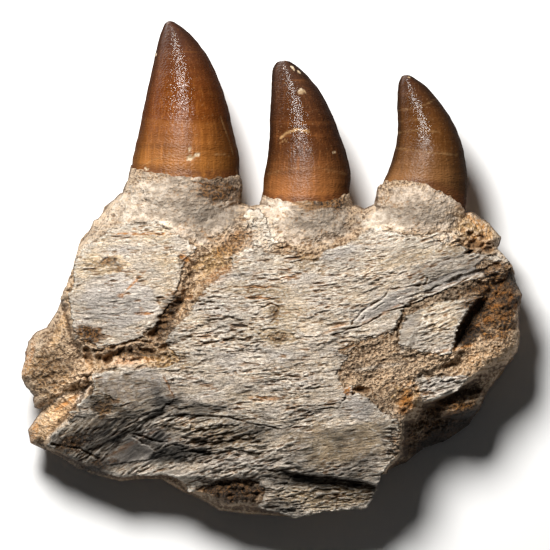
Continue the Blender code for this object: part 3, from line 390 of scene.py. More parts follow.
# Sections across each tooth: height Y, left and right edges in X, middle and half depth in Z, and how
# far the right edge and the front lie above the middle
REAR_CROWN = (
    (28, -47.2, -10.5, 27, 14.5, -1, -1.2), (33, -46.6, -10.6, 27.1, 14.4, -1, -1),
    (38.2, -45.6, -10.9, 27.2, 14.2, -0.6, -0.8), (46, -43.8, -13, 27.4, 13.2, 0, -0.3),
    (54, -42.2, -14.8, 27.2, 11.9, 0.4, 0), (62, -40.6, -17.6, 26.8, 10.2, 0.8, 0),
    (69, -39.2, -21, 26.2, 8.2, 1.2, 0), (75, -37.9, -25.2, 25.6, 6, 1.2, 0),
    (79.4, -36.6, -29.2, 25.2, 4, 0.8, 0), (82, -35.4, -32.4, 25, 1.8, 0.4, 0),
    (83, -34.4, -33.6, 25, 0.4, 0, 0),
)
MIDDLE_CROWN = (
    (21.4, -2.9, 25.9, 28.4, 12.3, 0.3, -3.2), (26, -2.7, 26.1, 28.5, 12.4, 0.3, -3),
    (30.4, -2.2, 26.4, 28.6, 12.2, 0.3, -2.4), (37, -0.9, 25.2, 28.6, 11.4, 0.3, -1.4),
    (44, -0.2, 22.8, 28.4, 10.3, 0.3, -0.4), (51, -0.1, 20.1, 28, 9.2, 0.6, 0),
    (58, 0.3, 16.4, 27.4, 7.6, 0.8, 0), (63.4, 0.5, 12.2, 27, 5.6, 0.8, 0),
    (67, 0.8, 8.7, 26.7, 3.8, 0.5, 0), (69, 2, 6.3, 26.6, 2.1, 0.2, 0), (69.7, 3.6, 4.8, 26.6, 0.5, 0, 0),
)
FRONT_CROWN = (
    (18.4, 35, 64.8, 28, 12.2, -2, 5.6), (23, 36, 65.1, 28.1, 12.3, -1.8, 5.8),
    (28.6, 38, 65.4, 28.4, 12, -1, 4.6), (35.4, 40.4, 64.7, 28.6, 11, 0, 3),
    (42, 42, 63.1, 28.4, 9.7, 0.6, 1.6), (48.6, 42.7, 60.1, 27.8, 8.2, 1.2, 0.8),
    (54.6, 42.4, 56, 27.2, 6.4, 1.2, 0.2), (59.8, 42.6, 51.8, 26.6, 4.5, 1, 0),
    (63, 43.1, 48.1, 26.2, 2.8, 0.6, 0), (64.4, 43.9, 46.4, 26, 1.4, 0.2, 0),
    (64.9, 44.7, 45.4, 26, 0.4, 0, 0),
)
REAR_ROOT = (
    (2, -40, -20, 16, 6, 0, 0), (6, -46, -16, 22, 13, 0, 0), (13.6, -50, -11.4, 25, 14.8, 0, 0),
    (20, -50.4, -10.2, 26.4, 15.2, 0, 0), (26, -49.2, -10.1, 27, 15.2, -0.3, -0.8),
    (30.2, -47.6, -10.3, 27, 14.9, -0.8, -1.6), (33, -46.7, -10.5, 27.1, 14.5, -1.4, -2.2),
)
MIDDLE_ROOT = (
    (-1, 6, 20, 19, 5, 0, 0), (4.6, 0, 26, 24, 12.6, 0, 0), (11.6, -3.4, 29.2, 27.4, 13.6, 0, 0),
    (17.6, -3.9, 28.8, 28.2, 13.5, 0, -1.2), (22.4, -3.3, 27.2, 28.4, 13, 0.2, -2.6),
    (25.6, -2.8, 26.2, 28.5, 12.5, 0.3, -3.2),
)
FRONT_ROOT = (
    (-1, 44, 54, 19, 3.4, 0, 0), (2.6, 39, 58.4, 22, 9, 0, 0), (8.6, 36, 61.4, 26, 12.2, 0, 1),
    (14, 35, 63, 27.6, 13.2, -0.6, 3), (18.8, 34.6, 64.6, 28, 13.1, -2.8, 5),
    (22.4, 35.6, 65.1, 28, 12.5, -4.4, 6),
)
ROOTS = {"rear_tooth_root": REAR_ROOT, "middle_tooth_root": MIDDLE_ROOT, "front_tooth_root": FRONT_ROOT}


# ---------------------------------------------------------------- sums on whole arrays of points

def smooth_step(value, low, high):
    t = np.clip((value - low) / (high - low), 0.0, 1.0)
    return t * t * (3.0 - 2.0 * t)


def legs(x, y, path):
    """For each leg of a path: its start, its run and rise, and how far each point lies from it."""
    for (ax, ay), (bx, by) in zip(path, path[1:]):
        run, rise = bx - ax, by - ay
        t = np.clip(((x - ax) * run + (y - ay) * rise) / (run ** 2 + rise ** 2), 0.0, 1.0)
        yield ax, ay, run, rise, np.hypot(x - ax - t * run, y - ay - t * rise)


def path_distance(x, y, path):
    """How far each point lies from an open path."""
    nearest = np.full(np.shape(x), 1e9)
    for *_, away in legs(x, y, path):
        nearest = np.minimum(nearest, away)
    return nearest


def depth_inside(x, y, outline):
    """How far each point lies inside an outline; negative outside it."""
    closed = outline + outline[:1]
    inside = np.zeros(np.shape(x), bool)
    for (ax, ay), (bx, by) in zip(closed, closed[1:]):
        if ay != by:
            inside ^= ((ay > y) != (by > y)) & (x < ax + (y - ay) / (by - ay) * (bx - ax))
    return np.where(inside, 1.0, -1.0) * path_distance(x, y, closed)


def side_of_path(x, y, path):
    """How far each point lies from an open path: positive on its right-hand side, negative on its left."""
    nearest = np.full(np.shape(x), 1e9)
    signed = np.zeros(np.shape(x))
    for ax, ay, run, rise, away in legs(x, y, path):
        side = np.where((x - ax) * rise - (y - ay) * run > 0.0, 1.0, -1.0)
        signed = np.where(away < nearest, side * away, signed)
        nearest = np.minimum(nearest, away)
    return signed


def patches(x, y, marks, ragged):
    """Ragged, soft-edged ovals, 0 to 1."""
    total = np.zeros(np.shape(x))
    for mid_x, mid_y, half_length, half_width, turn, strength in marks:
        c, s = math.cos(math.radians(turn)), math.sin(math.radians(turn))
        along = ((x - mid_x) * c + (y - mid_y) * s) / half_length
        aside = ((y - mid_y) * c - (x - mid_x) * s) / half_width
        share = strength * (1.0 - smooth_step(np.hypot(along, aside) + ragged, 0.55, 1.25))
        total = np.where(abs(share) > abs(total), share, total)
    return total


def corner_value(ix, iy, iz, seed):
    """A repeatable random whole number for each corner of a lattice."""
    mixed = (ix * 374761393 + iy * 668265263 + iz * 1274126177 + seed * 974634777) & 0xFFFFFFFF
    mixed = ((mixed ^ (mixed >> 13)) * 1274126177) & 0xFFFFFFFF
    return mixed ^ (mixed >> 16)


def lumps(x, y, z=0.0, seed=0):
    """Smooth random relief between about -1 and 1, with lumps about one unit across."""
    x, y, z = np.broadcast_arrays(np.asarray(x, float), np.asarray(y, float), np.asarray(z, float))
    flat = z.size == 0 or (z.flat[0] == 0.0 and not z.any())
    ix, iy, iz = (np.floor(v).astype(np.int64) for v in (x, y, z))
    fx, fy, fz = x - ix, y - iy, z - iz
    wx, wy, wz = (f * f * f * (f * (f * 6.0 - 15.0) + 10.0) for f in (fx, fy, fz))
    total = np.zeros(x.shape)
    for dx in (0, 1):
        for dy in (0, 1):
            for dz in (0,) if flat else (0, 1):
                number = corner_value(ix + dx, iy + dy, iz + dz, seed)
                toward = ((number & 1023) / 511.5 - 1.0) * (fx - dx)
                toward += (((number >> 10) & 1023) / 511.5 - 1.0) * (fy - dy)
                if not flat:
                    toward += (((number >> 20) & 1023) / 511.5 - 1.0) * (fz - dz)
                weight = (wx if dx else 1.0 - wx) * (wy if dy else 1.0 - wy)
                if not flat:
                    weight = weight * (wz if dz else 1.0 - wz)
                total += weight * toward
    return total * 1.5


def broken(x, y, z=0.0, octaves=4, seed=0):
    """Relief with ever finer lumps on it."""
    total = 0.0
    for k in range(octaves):
        total = total + lumps(x * 2.0 ** k, y * 2.0 ** k, z * 2.0 ** k, seed + k) * 0.5 ** k
    return total


def shingles(phase, cliff):
    """Overlapping leaves: each drops off sharply on its lower side and thins out upwards, 0 to 1."""
    t = phase - np.floor(phase)
    return smooth_step(t, 0.0, cliff) * (1.0 - t) / (1.0 - cliff / 2.0)


def blurred(field, reach):
    """Mean over a rectangle of the plan, reach millimetres each way, run twice."""
    for _ in range(2):
        for axis in (0, 1):
            cells = max(1, round(reach / PLAN_STEP[1 - axis]))
            pad = [(cells + 1, cells) if a == axis else (0, 0) for a in (0, 1)]
            run = np.cumsum(np.pad(field, pad, mode="edge"), axis=axis)
            width = 2 * cells + 1
            high = np.take(run, range(width, run.shape[axis]), axis=axis)
            low = np.take(run, range(0, run.shape[axis] - width), axis=axis)
            field = (high - low) / width
    return field


# ---------------------------------------------------------------- the plan of the front

PLAN_LOW = (-88.0, -88.0)
PLAN_HIGH = (88.0, 35.0)
plan_x, plan_y = np.meshgrid(
    np.arange(PLAN_LOW[0], PLAN_HIGH[0], PLAN_STEP[0]),
    np.arange(PLAN_LOW[1], PLAN_HIGH[1], PLAN_STEP[1]),
)


def plan_lumps(length, width, seed):
    """Lumps over the whole plan, of a length along X and a width along Y."""
    return lumps(plan_x / length, plan_y / width, seed=seed)


def plan_patches(marks, raggedness=1.0):
    """Marks laid on the plan, their edges more or less ragged."""
    return patches(plan_x, plan_y, marks, raggedness * ragged)


def warped_depth(outline, warp=1.0):
    """How far each place on the plan lies inside an outline with a naturally uneven edge."""
    return depth_inside(plan_x + warp * warp_x, plan_y + warp * warp_y, outline)


def sample(field, x, y):
    """A plan field's value at any points."""
    gx = np.clip((x - PLAN_LOW[0]) / PLAN_STEP[0], 0.0, field.shape[1] - 1.001)
    gy = np.clip((y - PLAN_LOW[1]) / PLAN_STEP[1], 0.0, field.shape[0] - 1.001)
    ix, iy = gx.astype(int), gy.astype(int)
    fx, fy = gx - ix, gy - iy
    near = field[iy, ix] * (1.0 - fx) + field[iy, ix + 1] * fx
    far = field[iy + 1, ix] * (1.0 - fx) + field[iy + 1, ix + 1] * fx
    return near * (1.0 - fy) + far * fy


def jaw_face(x, y):
    """The outer wall of the jaw bone: a barrel that turns away below."""
    z = CREST - BARREL_ALONG * (x - CREST_X) ** 2 - BARREL_ACROSS * (y - CREST_Y) ** 2
    z = z - 9.0 * smooth_step(-y, 46.0, 66.0) * smooth_step(-x, 5.0, 45.0)
    return z - 5.0 * smooth_step(x, 56.0, 80.0)


OVERHANG = (
    (-3, -66.8), (4.2, -66.6), (9.7, -68.2), (15, -68.6), (21.7, -69.4), (28, -70.2), (34.2, -71.6),
    (40, -72.4),
)


def fibre_slope(x, y):
    """How steeply the upper bones' fibres and the lower plate's fibres climb towards the front."""
    upper = 0.04 + 0.0046 * np.maximum(x - 8.0, 0.0) - 0.04 * smooth_step(x, 60.0, 75.0)
    upper = upper + 0.26 * smooth_step(-x, 24.0, 44.0) * smooth_step(-y, 32.0, 48.0)
    lower = 0.26 + 0.30 * smooth_step(-x, 25.0, 45.0) - 0.16 * smooth_step(x, 5.0, 20.0)
    lower = np.where(below_overhang > 0.0, 0.06, lower)
    return upper, lower


def across_fibres(x, y, lower):
    """A measure across the fibres of the upper bones, or of the lower plate."""
    if lower:
        block = smooth_step(below_overhang, -0.2, 0.2)
        rise = 0.22 * x - 0.010 * np.minimum(x + 22.0, 0.0) ** 2 - 0.1 * np.maximum(x - 8.0, 0.0)
        straight = y - rise * (1.0 - block) - 0.06 * x * block
    else:
        straight = y - 0.04 * x - 0.0023 * np.maximum(x - 8.0, 0.0) ** 2
        straight = straight - 0.18 * np.minimum(x + 24.0, 0.0) * smooth_step(-y, 28.0, 54.0)
    return straight + 1.0 * lumps(x / 20.0, y / 9.0, seed=5) + 0.5 * lumps(x / 7.0, y / 4.0, seed=6)


def bone_relief(x, across, rough):
    """Fine fibres and overlapping flakes."""
    fibres = 0.23 * lumps(x / 4.4, across / 1.2, seed=20) + 0.19 * lumps(x / 2.0, across / 0.65, seed=21)
    fibres = fibres + 0.13 * lumps(x / 1.0, across / 0.42, seed=22)
    islands = 0.32 * smooth_step(lumps(x / 4.0, across / 1.4, seed=32), -0.03, 0.05)
    islands = islands + 0.22 * smooth_step(lumps(x / 1.9, across / 0.8, seed=35), -0.04, 0.05)
    wander = 1.5 * lumps(x / 6.5, across / 2.4, seed=24) + 0.6 * lumps(x / 2.4, across / 1.0, seed=25)
    spots = smooth_step(lumps(x / 5.0, across / 1.7, seed=26), -0.12, 0.3)
    leaves = 0.40 * rough * spots * shingles(across / 1.9 + wander, 0.12)
    broad_wander = 1.2 * lumps(x / 12.0, across / 4.6, seed=27) + 0.5 * lumps(x / 3.6, across / 1.8, seed=28)
    broad = 0.75 * np.maximum(rough - 0.25, 0.0) * shingles(across / 4.6 + broad_wander, 0.07)
    swell = 0.7 * lumps(x / 26.0, across / 12.0, seed=29) + 0.32 * lumps(x / 9.0, across / 4.0, seed=30)
    chips = 0.13 * broken(x / 1.7, across / 1.1, octaves=2, seed=31) * (0.25 + rough)
    return fibres * (0.6 + 0.6 * rough) + islands * (0.35 + rough) + leaves + broad + swell + chips - 0.3


def scratches(count, lengths, widths, depths, seed, stepped=False):
    """Short strokes along the fibres over the whole plan: grooves, or broken edges that drop off below."""
    dice = np.random.default_rng(seed)
    field = np.zeros(plan_x.shape)
    for _ in range(count):
        mid_x = dice.uniform(-78.0, 82.0)
        mid_y = dice.uniform(-83.0, 18.0)
        length = dice.uniform(*lengths) / 2.0
        width = dice.uniform(*widths)
        depth = dice.uniform(*depths)
        tilt = dice.normal(0.0, 0.10)
        bend = dice.normal(0.0, 0.012)
        column = int((mid_x - PLAN_LOW[0]) / PLAN_STEP[0])
        row = int((mid_y - PLAN_LOW[1]) / PLAN_STEP[1])
        turn = math.atan(fibre_turn[row, column]) + tilt
        c, s = math.cos(turn), math.sin(turn)
        reach = 4.0 * width if stepped else 2.2 * width
        half_columns = int((length + reach) / PLAN_STEP[0]) + 1
        half_rows = int((length * abs(s) + reach) / PLAN_STEP[1]) + 2
        rows = slice(max(row - half_rows, 0), row + half_rows + 1)
        columns = slice(max(column - half_columns, 0), column + half_columns + 1)
        dx = plan_x[rows, columns] - mid_x
        dy = plan_y[rows, columns] - mid_y
        along = (dx * c + dy * s) / length
        aside = dy * c - dx * s + bend * (dx * c + dy * s) ** 2 + 0.25 * warp_y[rows, columns]
        taper = np.sqrt(np.clip(1.0 - along ** 2, 0.0, 1.0))
        if stepped:
            shape = smooth_step(-aside, 0.0, 0.2) * (1.0 - smooth_step(-aside, 0.2, reach))
        else:
            shape = np.exp(-((aside / width) ** 2))
        field[rows, columns] = np.maximum(field[rows, columns], depth * shape * taper)
    return field


def crumb_relief(x, y, seed):
    """Rounded crumbs about one unit across, each raised by its own amount."""
    x = x + 0.20 * lumps(x * 1.3, y * 1.3, seed=seed + 1)
    y = y + 0.20 * lumps(x * 1.3, y * 1.3, seed=seed + 2)
    ix, iy = np.floor(x).astype(np.int64), np.floor(y).astype(np.int64)
    top = np.zeros(x.shape)
    for dx in (-1, 0, 1):
        for dy in (-1, 0, 1):
            number = corner_value(ix + dx, iy + dy, 0, seed)
            from_x = x - ix - dx - 0.1 - 0.8 * (number & 255) / 255.0
            from_y = y - iy - dy - 0.1 - 0.8 * ((number >> 8) & 255) / 255.0
            size = 0.40 + 0.35 * ((number >> 16) & 255) / 255.0
            dome = np.sqrt(np.clip(1.0 - (from_x ** 2 + from_y ** 2) / size ** 2, 0.0, 1.0))
            top = np.maximum(top, dome * (size + 0.5 * ((number >> 24) & 127) / 127.0))
    return top


def sand_relief(x, y):
    """Grains, pores and crumbs: height, and how deep in a pore each point is."""
    grains = 0.34 * lumps(x / 0.95, y / 0.95, seed=40) + 0.24 * lumps(x / 0.6, y / 0.6, seed=41)
    crumbs = 0.45 * broken(x / 2.8, y / 2.4, octaves=3, seed=42)
    grains = grains + 0.25 * (crumb_relief(x / 1.15, y / 1.0, 55) - 0.5)
    pore = smooth_step(lumps(x / 0.9, y / 0.75, seed=43) + 0.6 * lumps(x / 5.0, y / 4.0, seed=44), 0.30, 0.55)
    return grains + crumbs - 0.45 * pore, pore


ragged = 0.30 * broken(plan_x / 4.0, plan_y / 2.6, octaves=4, seed=10)
warp_x = 0.8 * plan_lumps(3, 1.1, 11) + 0.35 * plan_lumps(1.2, 0.6, 12)
warp_y = 0.55 * plan_lumps(4, 2, 13) + 0.25 * plan_lumps(1.3, 0.9, 14)
below_overhang = side_of_path(plan_x + 0.5 * warp_x, plan_y + 0.9 * warp_y, OVERHANG)
below_overhang = np.minimum(below_overhang, (plan_x + 4.0) * 0.5)

coarse = plan_patches(FLAKING, 0.5)
dusted = plan_patches(DUSTED)
on_lower = (warped_depth(LOWER_PLATE) > -1.0) & (warped_depth(UPPER_PLATE) < 0.0)
upper_slope, lower_slope = fibre_slope(plan_x, plan_y)
fibre_turn = np.where(on_lower, lower_slope, upper_slope)
across = np.where(on_lower, across_fibres(plan_x, plan_y, True), across_fibres(plan_x, plan_y, False))
rough = np.clip(0.42 + 0.9 * plan_lumps(15, 6.5, 16) + 0.7 * coarse, 0.08, 1.5)


def crack_depth():
    """How deep each place lies in a crack or a pit."""
    deep = np.zeros(plan_x.shape)
    uneven = np.clip(0.75 + 1.3 * plan_lumps(2.6, 2.6, 15), 0.1, 1.4)
    for path, width, depth in CRACKS:
        away = path_distance(plan_x + 0.7 * warp_x, plan_y + 0.8 * warp_y, path)
        gone = smooth_step(away, 0.2 * width, width * (0.7 + 0.5 * uneven))
        deep = np.maximum(deep, depth * uneven * (1.0 - gone))
    for mark in PITS:
        deep = np.maximum(deep, plan_patches((mark,)))
    return deep


def scarp_drop():
    """How far the broken edges drop each place, with a shallow groove along their foot."""
    total = np.zeros(plan_x.shape)
    uneven = np.clip(0.9 + 1.2 * plan_lumps(5, 5, 17), 0.2, 1.5)
    for path, drop, reach in SCARPS:
        below = side_of_path(plan_x + 1.2 * warp_x, plan_y + 1.4 * warp_y, path)
        total += drop * uneven * smooth_step(below, -0.1, 0.35) * (1.0 - smooth_step(below, 0.35, reach))
        total -= 0.25 * abs(drop) * uneven * (1.0 - smooth_step(abs(below + 0.5), 0.0, 1.4))
    return total


def facet_fields():
    """What the flat facets do to each place: their rise, how smooth it is, its tone and its warmth."""
    rises, smooth, tone, warmth = (np.zeros(plan_x.shape) for _ in range(4))
    for outline, rise, polish, shade, warm in FACETS:
        share = smooth_step(warped_depth(outline, 0.8), -0.15, 0.25)
        rises += rise * share
        smooth = np.maximum(smooth, polish * share)
        tone += shade * share
        warmth += warm * share
    return rises, smooth, tone, warmth


def bone_surface():
    """The bones' flakes above their plain faces, and how deep each place lies in a slit between fibres."""
    slits = scratches(7000, (0.6, 3.0), (0.10, 0.17), (0.15, 0.6), 1)
    slits = np.maximum(slits, scratches(420, (2.0, 6.5), (0.14, 0.26), (0.25, 0.8), 2))
    edges = scratches(1900, (1.2, 6.5), (0.25, 0.9), (0.12, 0.55), 3, stepped=True)
    worked = smooth_step(plan_lumps(9, 4.5, 18) + plan_lumps(3.5, 2.5, 19), -0.45, 0.35)
    slits = slits * np.clip(0.5 + 0.9 * rough, 0.3, 1.3) * (1.0 - 0.7 * smoothed) * (0.35 + 0.85 * worked)
    flakes = bone_relief(plan_x, across, rough) - edges * np.clip(0.5 + 0.8 * rough, 0.3, 1.3)
    return flakes * (1.0 - 0.85 * smoothed) + raised - 0.9 * slits, slits


def sand_surface():
    """The sand's grains, crumbs and combed ridges, and how deep each place lies in a pore."""
    height, pores = sand_relief(plan_x, plan_y)
    crumbs = plan_lumps(1.7, 1.5, 48) + 0.6 * plan_lumps(0.9, 0.9, 49)
    crumbs = 0.4 * crumbs + 1.7 * (crumb_relief(plan_x / 2.2, plan_y / 1.8, 56) - 0.5)
    height = height + plan_patches(CRUMBLY) * crumbs
    wander = 0.8 * plan_lumps(6, 3, 45) + 0.5 * plan_lumps(1.6, 1.2, 46)
    ridges = shingles((plan_y - 0.36 * plan_x) / 1.9 + wander, 0.25)
    height = height + 0.5 * plan_patches(COMBED) * ridges
    return 1.15 * height * (1.0 + 0.5 * np.minimum(dusted, 0.0)), pores


cracked = crack_depth()
dropped = scarp_drop()
raised, smoothed, facet_tone, facet_warmth = facet_fields()
flaked, slit = bone_surface()
sanded, pore = sand_surface()
rock_depth = depth_inside(plan_x, plan_y, ROCK)
edge = np.clip(rock_depth, 0.0, RIM_WIDTH) / RIM_WIDTH
rim_drop = RIM_DROP * (1.0 - np.sqrt(1.0 - (1.0 - edge) ** 2))


def bone_reach(name):
    """How far each place lies inside a bone's broken edge."""
    inside = warped_depth(BONES[name][0]) + 0.35 * plan_lumps(1.1, 1, 47)
    if name == "jaw_bone_lower_plate":
        # It runs on beneath the upper plate's broken edge
        beside = depth_inside(plan_x, plan_y, UPPER_PLATE)
        inside = np.maximum(inside, np.minimum(inside + 3.0, beside + 3.0))
    return inside


def bone_face(name):
    """A bone's face before it is flaked and cracked."""
    face = jaw_face(plan_x, plan_y)
    if name == "jaw_bone_upper_plate":
        high_side = plan_x - 1.6 * (plan_y + 22.0)
        face = face - 1.2 * smooth_step(high_side, 18.0, 26.0) * smooth_step(-plan_y, -1.0, 6.0)
        return face - 0.8 * rim_drop * smooth_step(plan_y, 6.0, 12.0)
    if name == "jaw_bone_lower_plate":
        ledge = smooth_step(plan_x + 2.0 * warp_x, -3.0, 12.0)
        face = face - 0.2 - 0.7 * smooth_step(plan_x, -52.0, -24.0)
        face = face - 4.2 * ledge * smooth_step(below_overhang, -0.1, 0.7)
        return face - 3.0 * smooth_step(-plan_y, 69.0, 72.0) * smooth_step(-plan_x, 2.0, 6.0)
    if name == "jaw_bone_rear_piece":
        return face + 0.2 - 1.2 * smooth_step(plan_y, 11.6, 15.0)
    if name == "jaw_bone_front_piece":
        return face - 1.2 + 0.06 * (plan_x - 55.0)
    return 36.0 - 0.10 * (plan_x - 50.0) + 0.25 * (plan_y + 40.0)


def rock_face():
    """The bare rock: a little lower than the bones, with its levels and its rounded rim."""
    face = jaw_face(plan_x, plan_y) - SAND_DEPTH
    for outline, mid_x, mid_y, height, rise_x, rise_y, soft in LEVELS:
        level = height + rise_x * (plan_x - mid_x) + rise_y * (plan_y - mid_y)
        face += (level - face) * smooth_step(warped_depth(outline), -soft, soft)
    return face + (1.3 * broken(plan_x / 8.0, plan_y / 8.0, octaves=4, seed=33) - rim_drop)


def banked(rock):
    """Sand lies up against the bones' edges, level or a little lower, but not on the bare levels."""
    level = rock.copy()
    for name in BONES:
        beside = 1.0 - smooth_step(-bone_depth[name], 0.4, 4.0)
        settled = bone_height[name] - 0.15 + 0.9 * ragged
        level = np.where(bone_depth[name] > -5.0, level + (settled - level) * beside, level)
    bare = np.zeros(plan_x.shape)
    for which in BARE_LEVELS:
        bare = np.maximum(bare, smooth_step(depth_inside(plan_x, plan_y, LEVELS[which][0]), -1.0, 1.0))
    return level * (1.0 - bare) + rock * bare


def cemented(rock):
    """The cement round each root runs out smoothly over the rock."""
    root_top = np.full(plan_x.shape, -50.0)
    for sections in ROOTS.values():
        rows = np.array(sections)
        left, right, middle, depth = (np.interp(plan_y, rows[:, 0], rows[:, k]) for k in (1, 2, 3, 4))
        out = abs(plan_x - (left + right) / 2.0) / ((right - left) / 2.0)
        bulge = np.sqrt(np.clip(1.0 - out ** 2, 0.0, 1.0)) - 3.0 * np.clip(out - 1.0, 0.0, 9.0)
        root_top = np.where(plan_y > 6.0, np.maximum(root_top, middle + depth * bulge), root_top)
    lap = np.clip(0.5 + (root_top - rock) / 12.0, 0.0, 1.0)
    filleted = rock * (1.0 - lap) + (root_top - 0.3) * lap + 5.0 * lap * (1.0 - lap)
    return rock + smooth_step(plan_y, 6.0, 12.0) * np.maximum(filleted - rock, 0.0)


bone_depth = {}
bone_height = {}
bone_share = np.zeros(plan_x.shape)
for name in BONES:
    inside = bone_reach(name)
    level = bone_face(name) + flaked - cracked - dropped
    level = level + 0.8 * np.maximum(dusted, 0.0) * (sanded - 0.4 * flaked)
    bone_depth[name] = inside
    bone_height[name] = level - 0.25 * (1.0 - smooth_step(inside, -0.1, 0.7))
    bone_share = np.maximum(bone_share, smooth_step(inside, -0.9, 0.6))
front_sand = sanded - 0.5 * cracked - 0.6 * dropped
rock_height = np.maximum(cemented(banked(rock_face())) + front_sand, 1.5)

# The whole front's height, for its hollows; then the rock is cut away beneath the bones
front_height = rock_height.copy()
for name in BONES:
    beneath = np.where(bone_share > 0.5, front_height, 0.0)
    front_height = np.where(bone_depth[name] > 0.0, np.maximum(bone_height[name], beneath), front_height)
pocket = np.zeros(plan_x.shape, bool)
for name, (outline, underside) in BONES.items():
    near = bone_depth[name] > 0.0
    rock_height = np.where(near, np.minimum(rock_height, bone_height[name] - 0.5), rock_height)
    under = (bone_depth[name] > 2.2) & (rock_depth > 2.0)
    rock_height = np.where(under, underside - 0.3, rock_height)
    pocket |= under


def plan_look():
    """The stains, shades and kinds of stone that the finish takes from the plan."""
    sand = np.clip(1.0 - bone_share + np.maximum(dusted, 0.0), 0.0, 1.0)
    # Painted shade: slits, sand pores and cracks are darkened.
    dark = 0.85 * smooth_step(slit, 0.08, 0.45) * bone_share + 0.25 * pore * sand
    rusty_places = smooth_step(plan_lumps(12, 6, 50), -0.1, 0.4) * bone_share
    rusty_slits = 0.7 * smooth_step(blurred(slit, 0.25), 0.05, 0.25) * rusty_places
    # Painted shade: the tone falls towards the bottom, where the jaw turns from the lamp. The patches add
    # painted light and shade to the surface's own tone.
    tone = 1.06 + plan_patches(TONE_AND_PAINTED_LIGHT, 0.5) - 0.10 * smooth_step(-plan_y, 24.0, 60.0)
    uneven = 0.20 * plan_lumps(14, 7, 51) + 0.18 * lumps(plan_x / 5.0, across / 2.0, seed=52)
    tone = tone + uneven * (1.0 + 0.9 * smooth_step(-plan_y, 32.0, 50.0))
    warmth = 0.45 + 0.5 * plan_patches(WARMTH) + 0.4 * plan_lumps(11, 5, 53)
    warmth = warmth + facet_warmth + 0.3 * lumps(plan_x / 3.0, across / 1.2, seed=54)
    plaster_grit = np.clip(1.0 + np.minimum(dusted, 0.0), 0.15, 1.0)
    return {
        "ochre": plan_patches(OCHRE, 2.2),
        "brown_and_shade": plan_patches(BROWN_AND_PAINTED_SHADE, 2.0),
        "cream": plan_patches(CREAM, 0.8),
        "sand": sand,
        "rust": np.maximum(plan_patches(RUST, 0.6), rusty_slits),
        "dark": np.clip(dark + 0.5 * smooth_step(cracked, 0.4, 1.5), 0.0, 0.92),
        "tone": np.clip(tone + facet_tone, 0.08, 1.6),
        "across": across,
        "hollow": blurred(front_height, 0.5) - front_height,
        "wide_hollow": blurred(front_height, 3.4) - front_height,
        "warmth": np.clip(warmth, 0.0, 1.0),
        "grit": plaster_grit * sand + (1.0 - 0.8 * smoothed) * (1.0 - sand),
        "gold_and_highlight": plan_patches(GOLD_AND_HIGHLIGHT),
    }


stone_fields = plan_look()
# The tone blurred for the walls, painted light and shade included.
wide_tone = np.maximum(blurred(stone_fields["tone"], 5.0), 0.22)


# ---------------------------------------------------------------- making pieces

def points_of(obj):
    flat = np.empty(len(obj.data.vertices) * 3)
    obj.data.vertices.foreach_get("co", flat)
    return flat.reshape(-1, 3) / MM


def set_points(obj, points):
    obj.data.vertices.foreach_set("co", (points * MM).ravel())
    obj.data.update()


def face_middles(obj, points):
    """The mean of each face's corners, on a mesh of four-cornered faces."""
    corners = np.empty(len(obj.data.loops), np.int64)
    obj.data.loops.foreach_get("vertex_index", corners)
    return points[corners.reshape(-1, 4)].mean(axis=1)


def pick(obj, kind, chosen, points=()):
    """Selects faces or edges, and nothing else, for the next edit."""
    for part in (obj.data.vertices, obj.data.edges, obj.data.polygons):
        part.foreach_set("select", np.zeros(len(part), bool))
    kind.foreach_set("select", chosen)
    if len(points):
        obj.data.vertices.foreach_set("select", points)


def edit(obj, mode="FACE"):
    bpy.ops.object.select_all(action="DESELECT")
    bpy.context.view_layer.objects.active = obj
    obj.select_set(True)
    bpy.ops.object.mode_set(mode="EDIT")
    bpy.ops.mesh.select_mode(type=mode)


def done_editing():
    bpy.ops.object.mode_set(mode="OBJECT")


def open_edges(obj):
    """Which edges have one face only, and the two points of every edge."""
    edges = np.empty(len(obj.data.loops), np.int64)
    obj.data.loops.foreach_get("edge_index", edges)
    ends = np.empty(len(obj.data.edges) * 2, np.int64)
    obj.data.edges.foreach_get("vertices", ends)
    return np.bincount(edges, minlength=len(obj.data.edges)) == 1, ends.reshape(-1, 2)


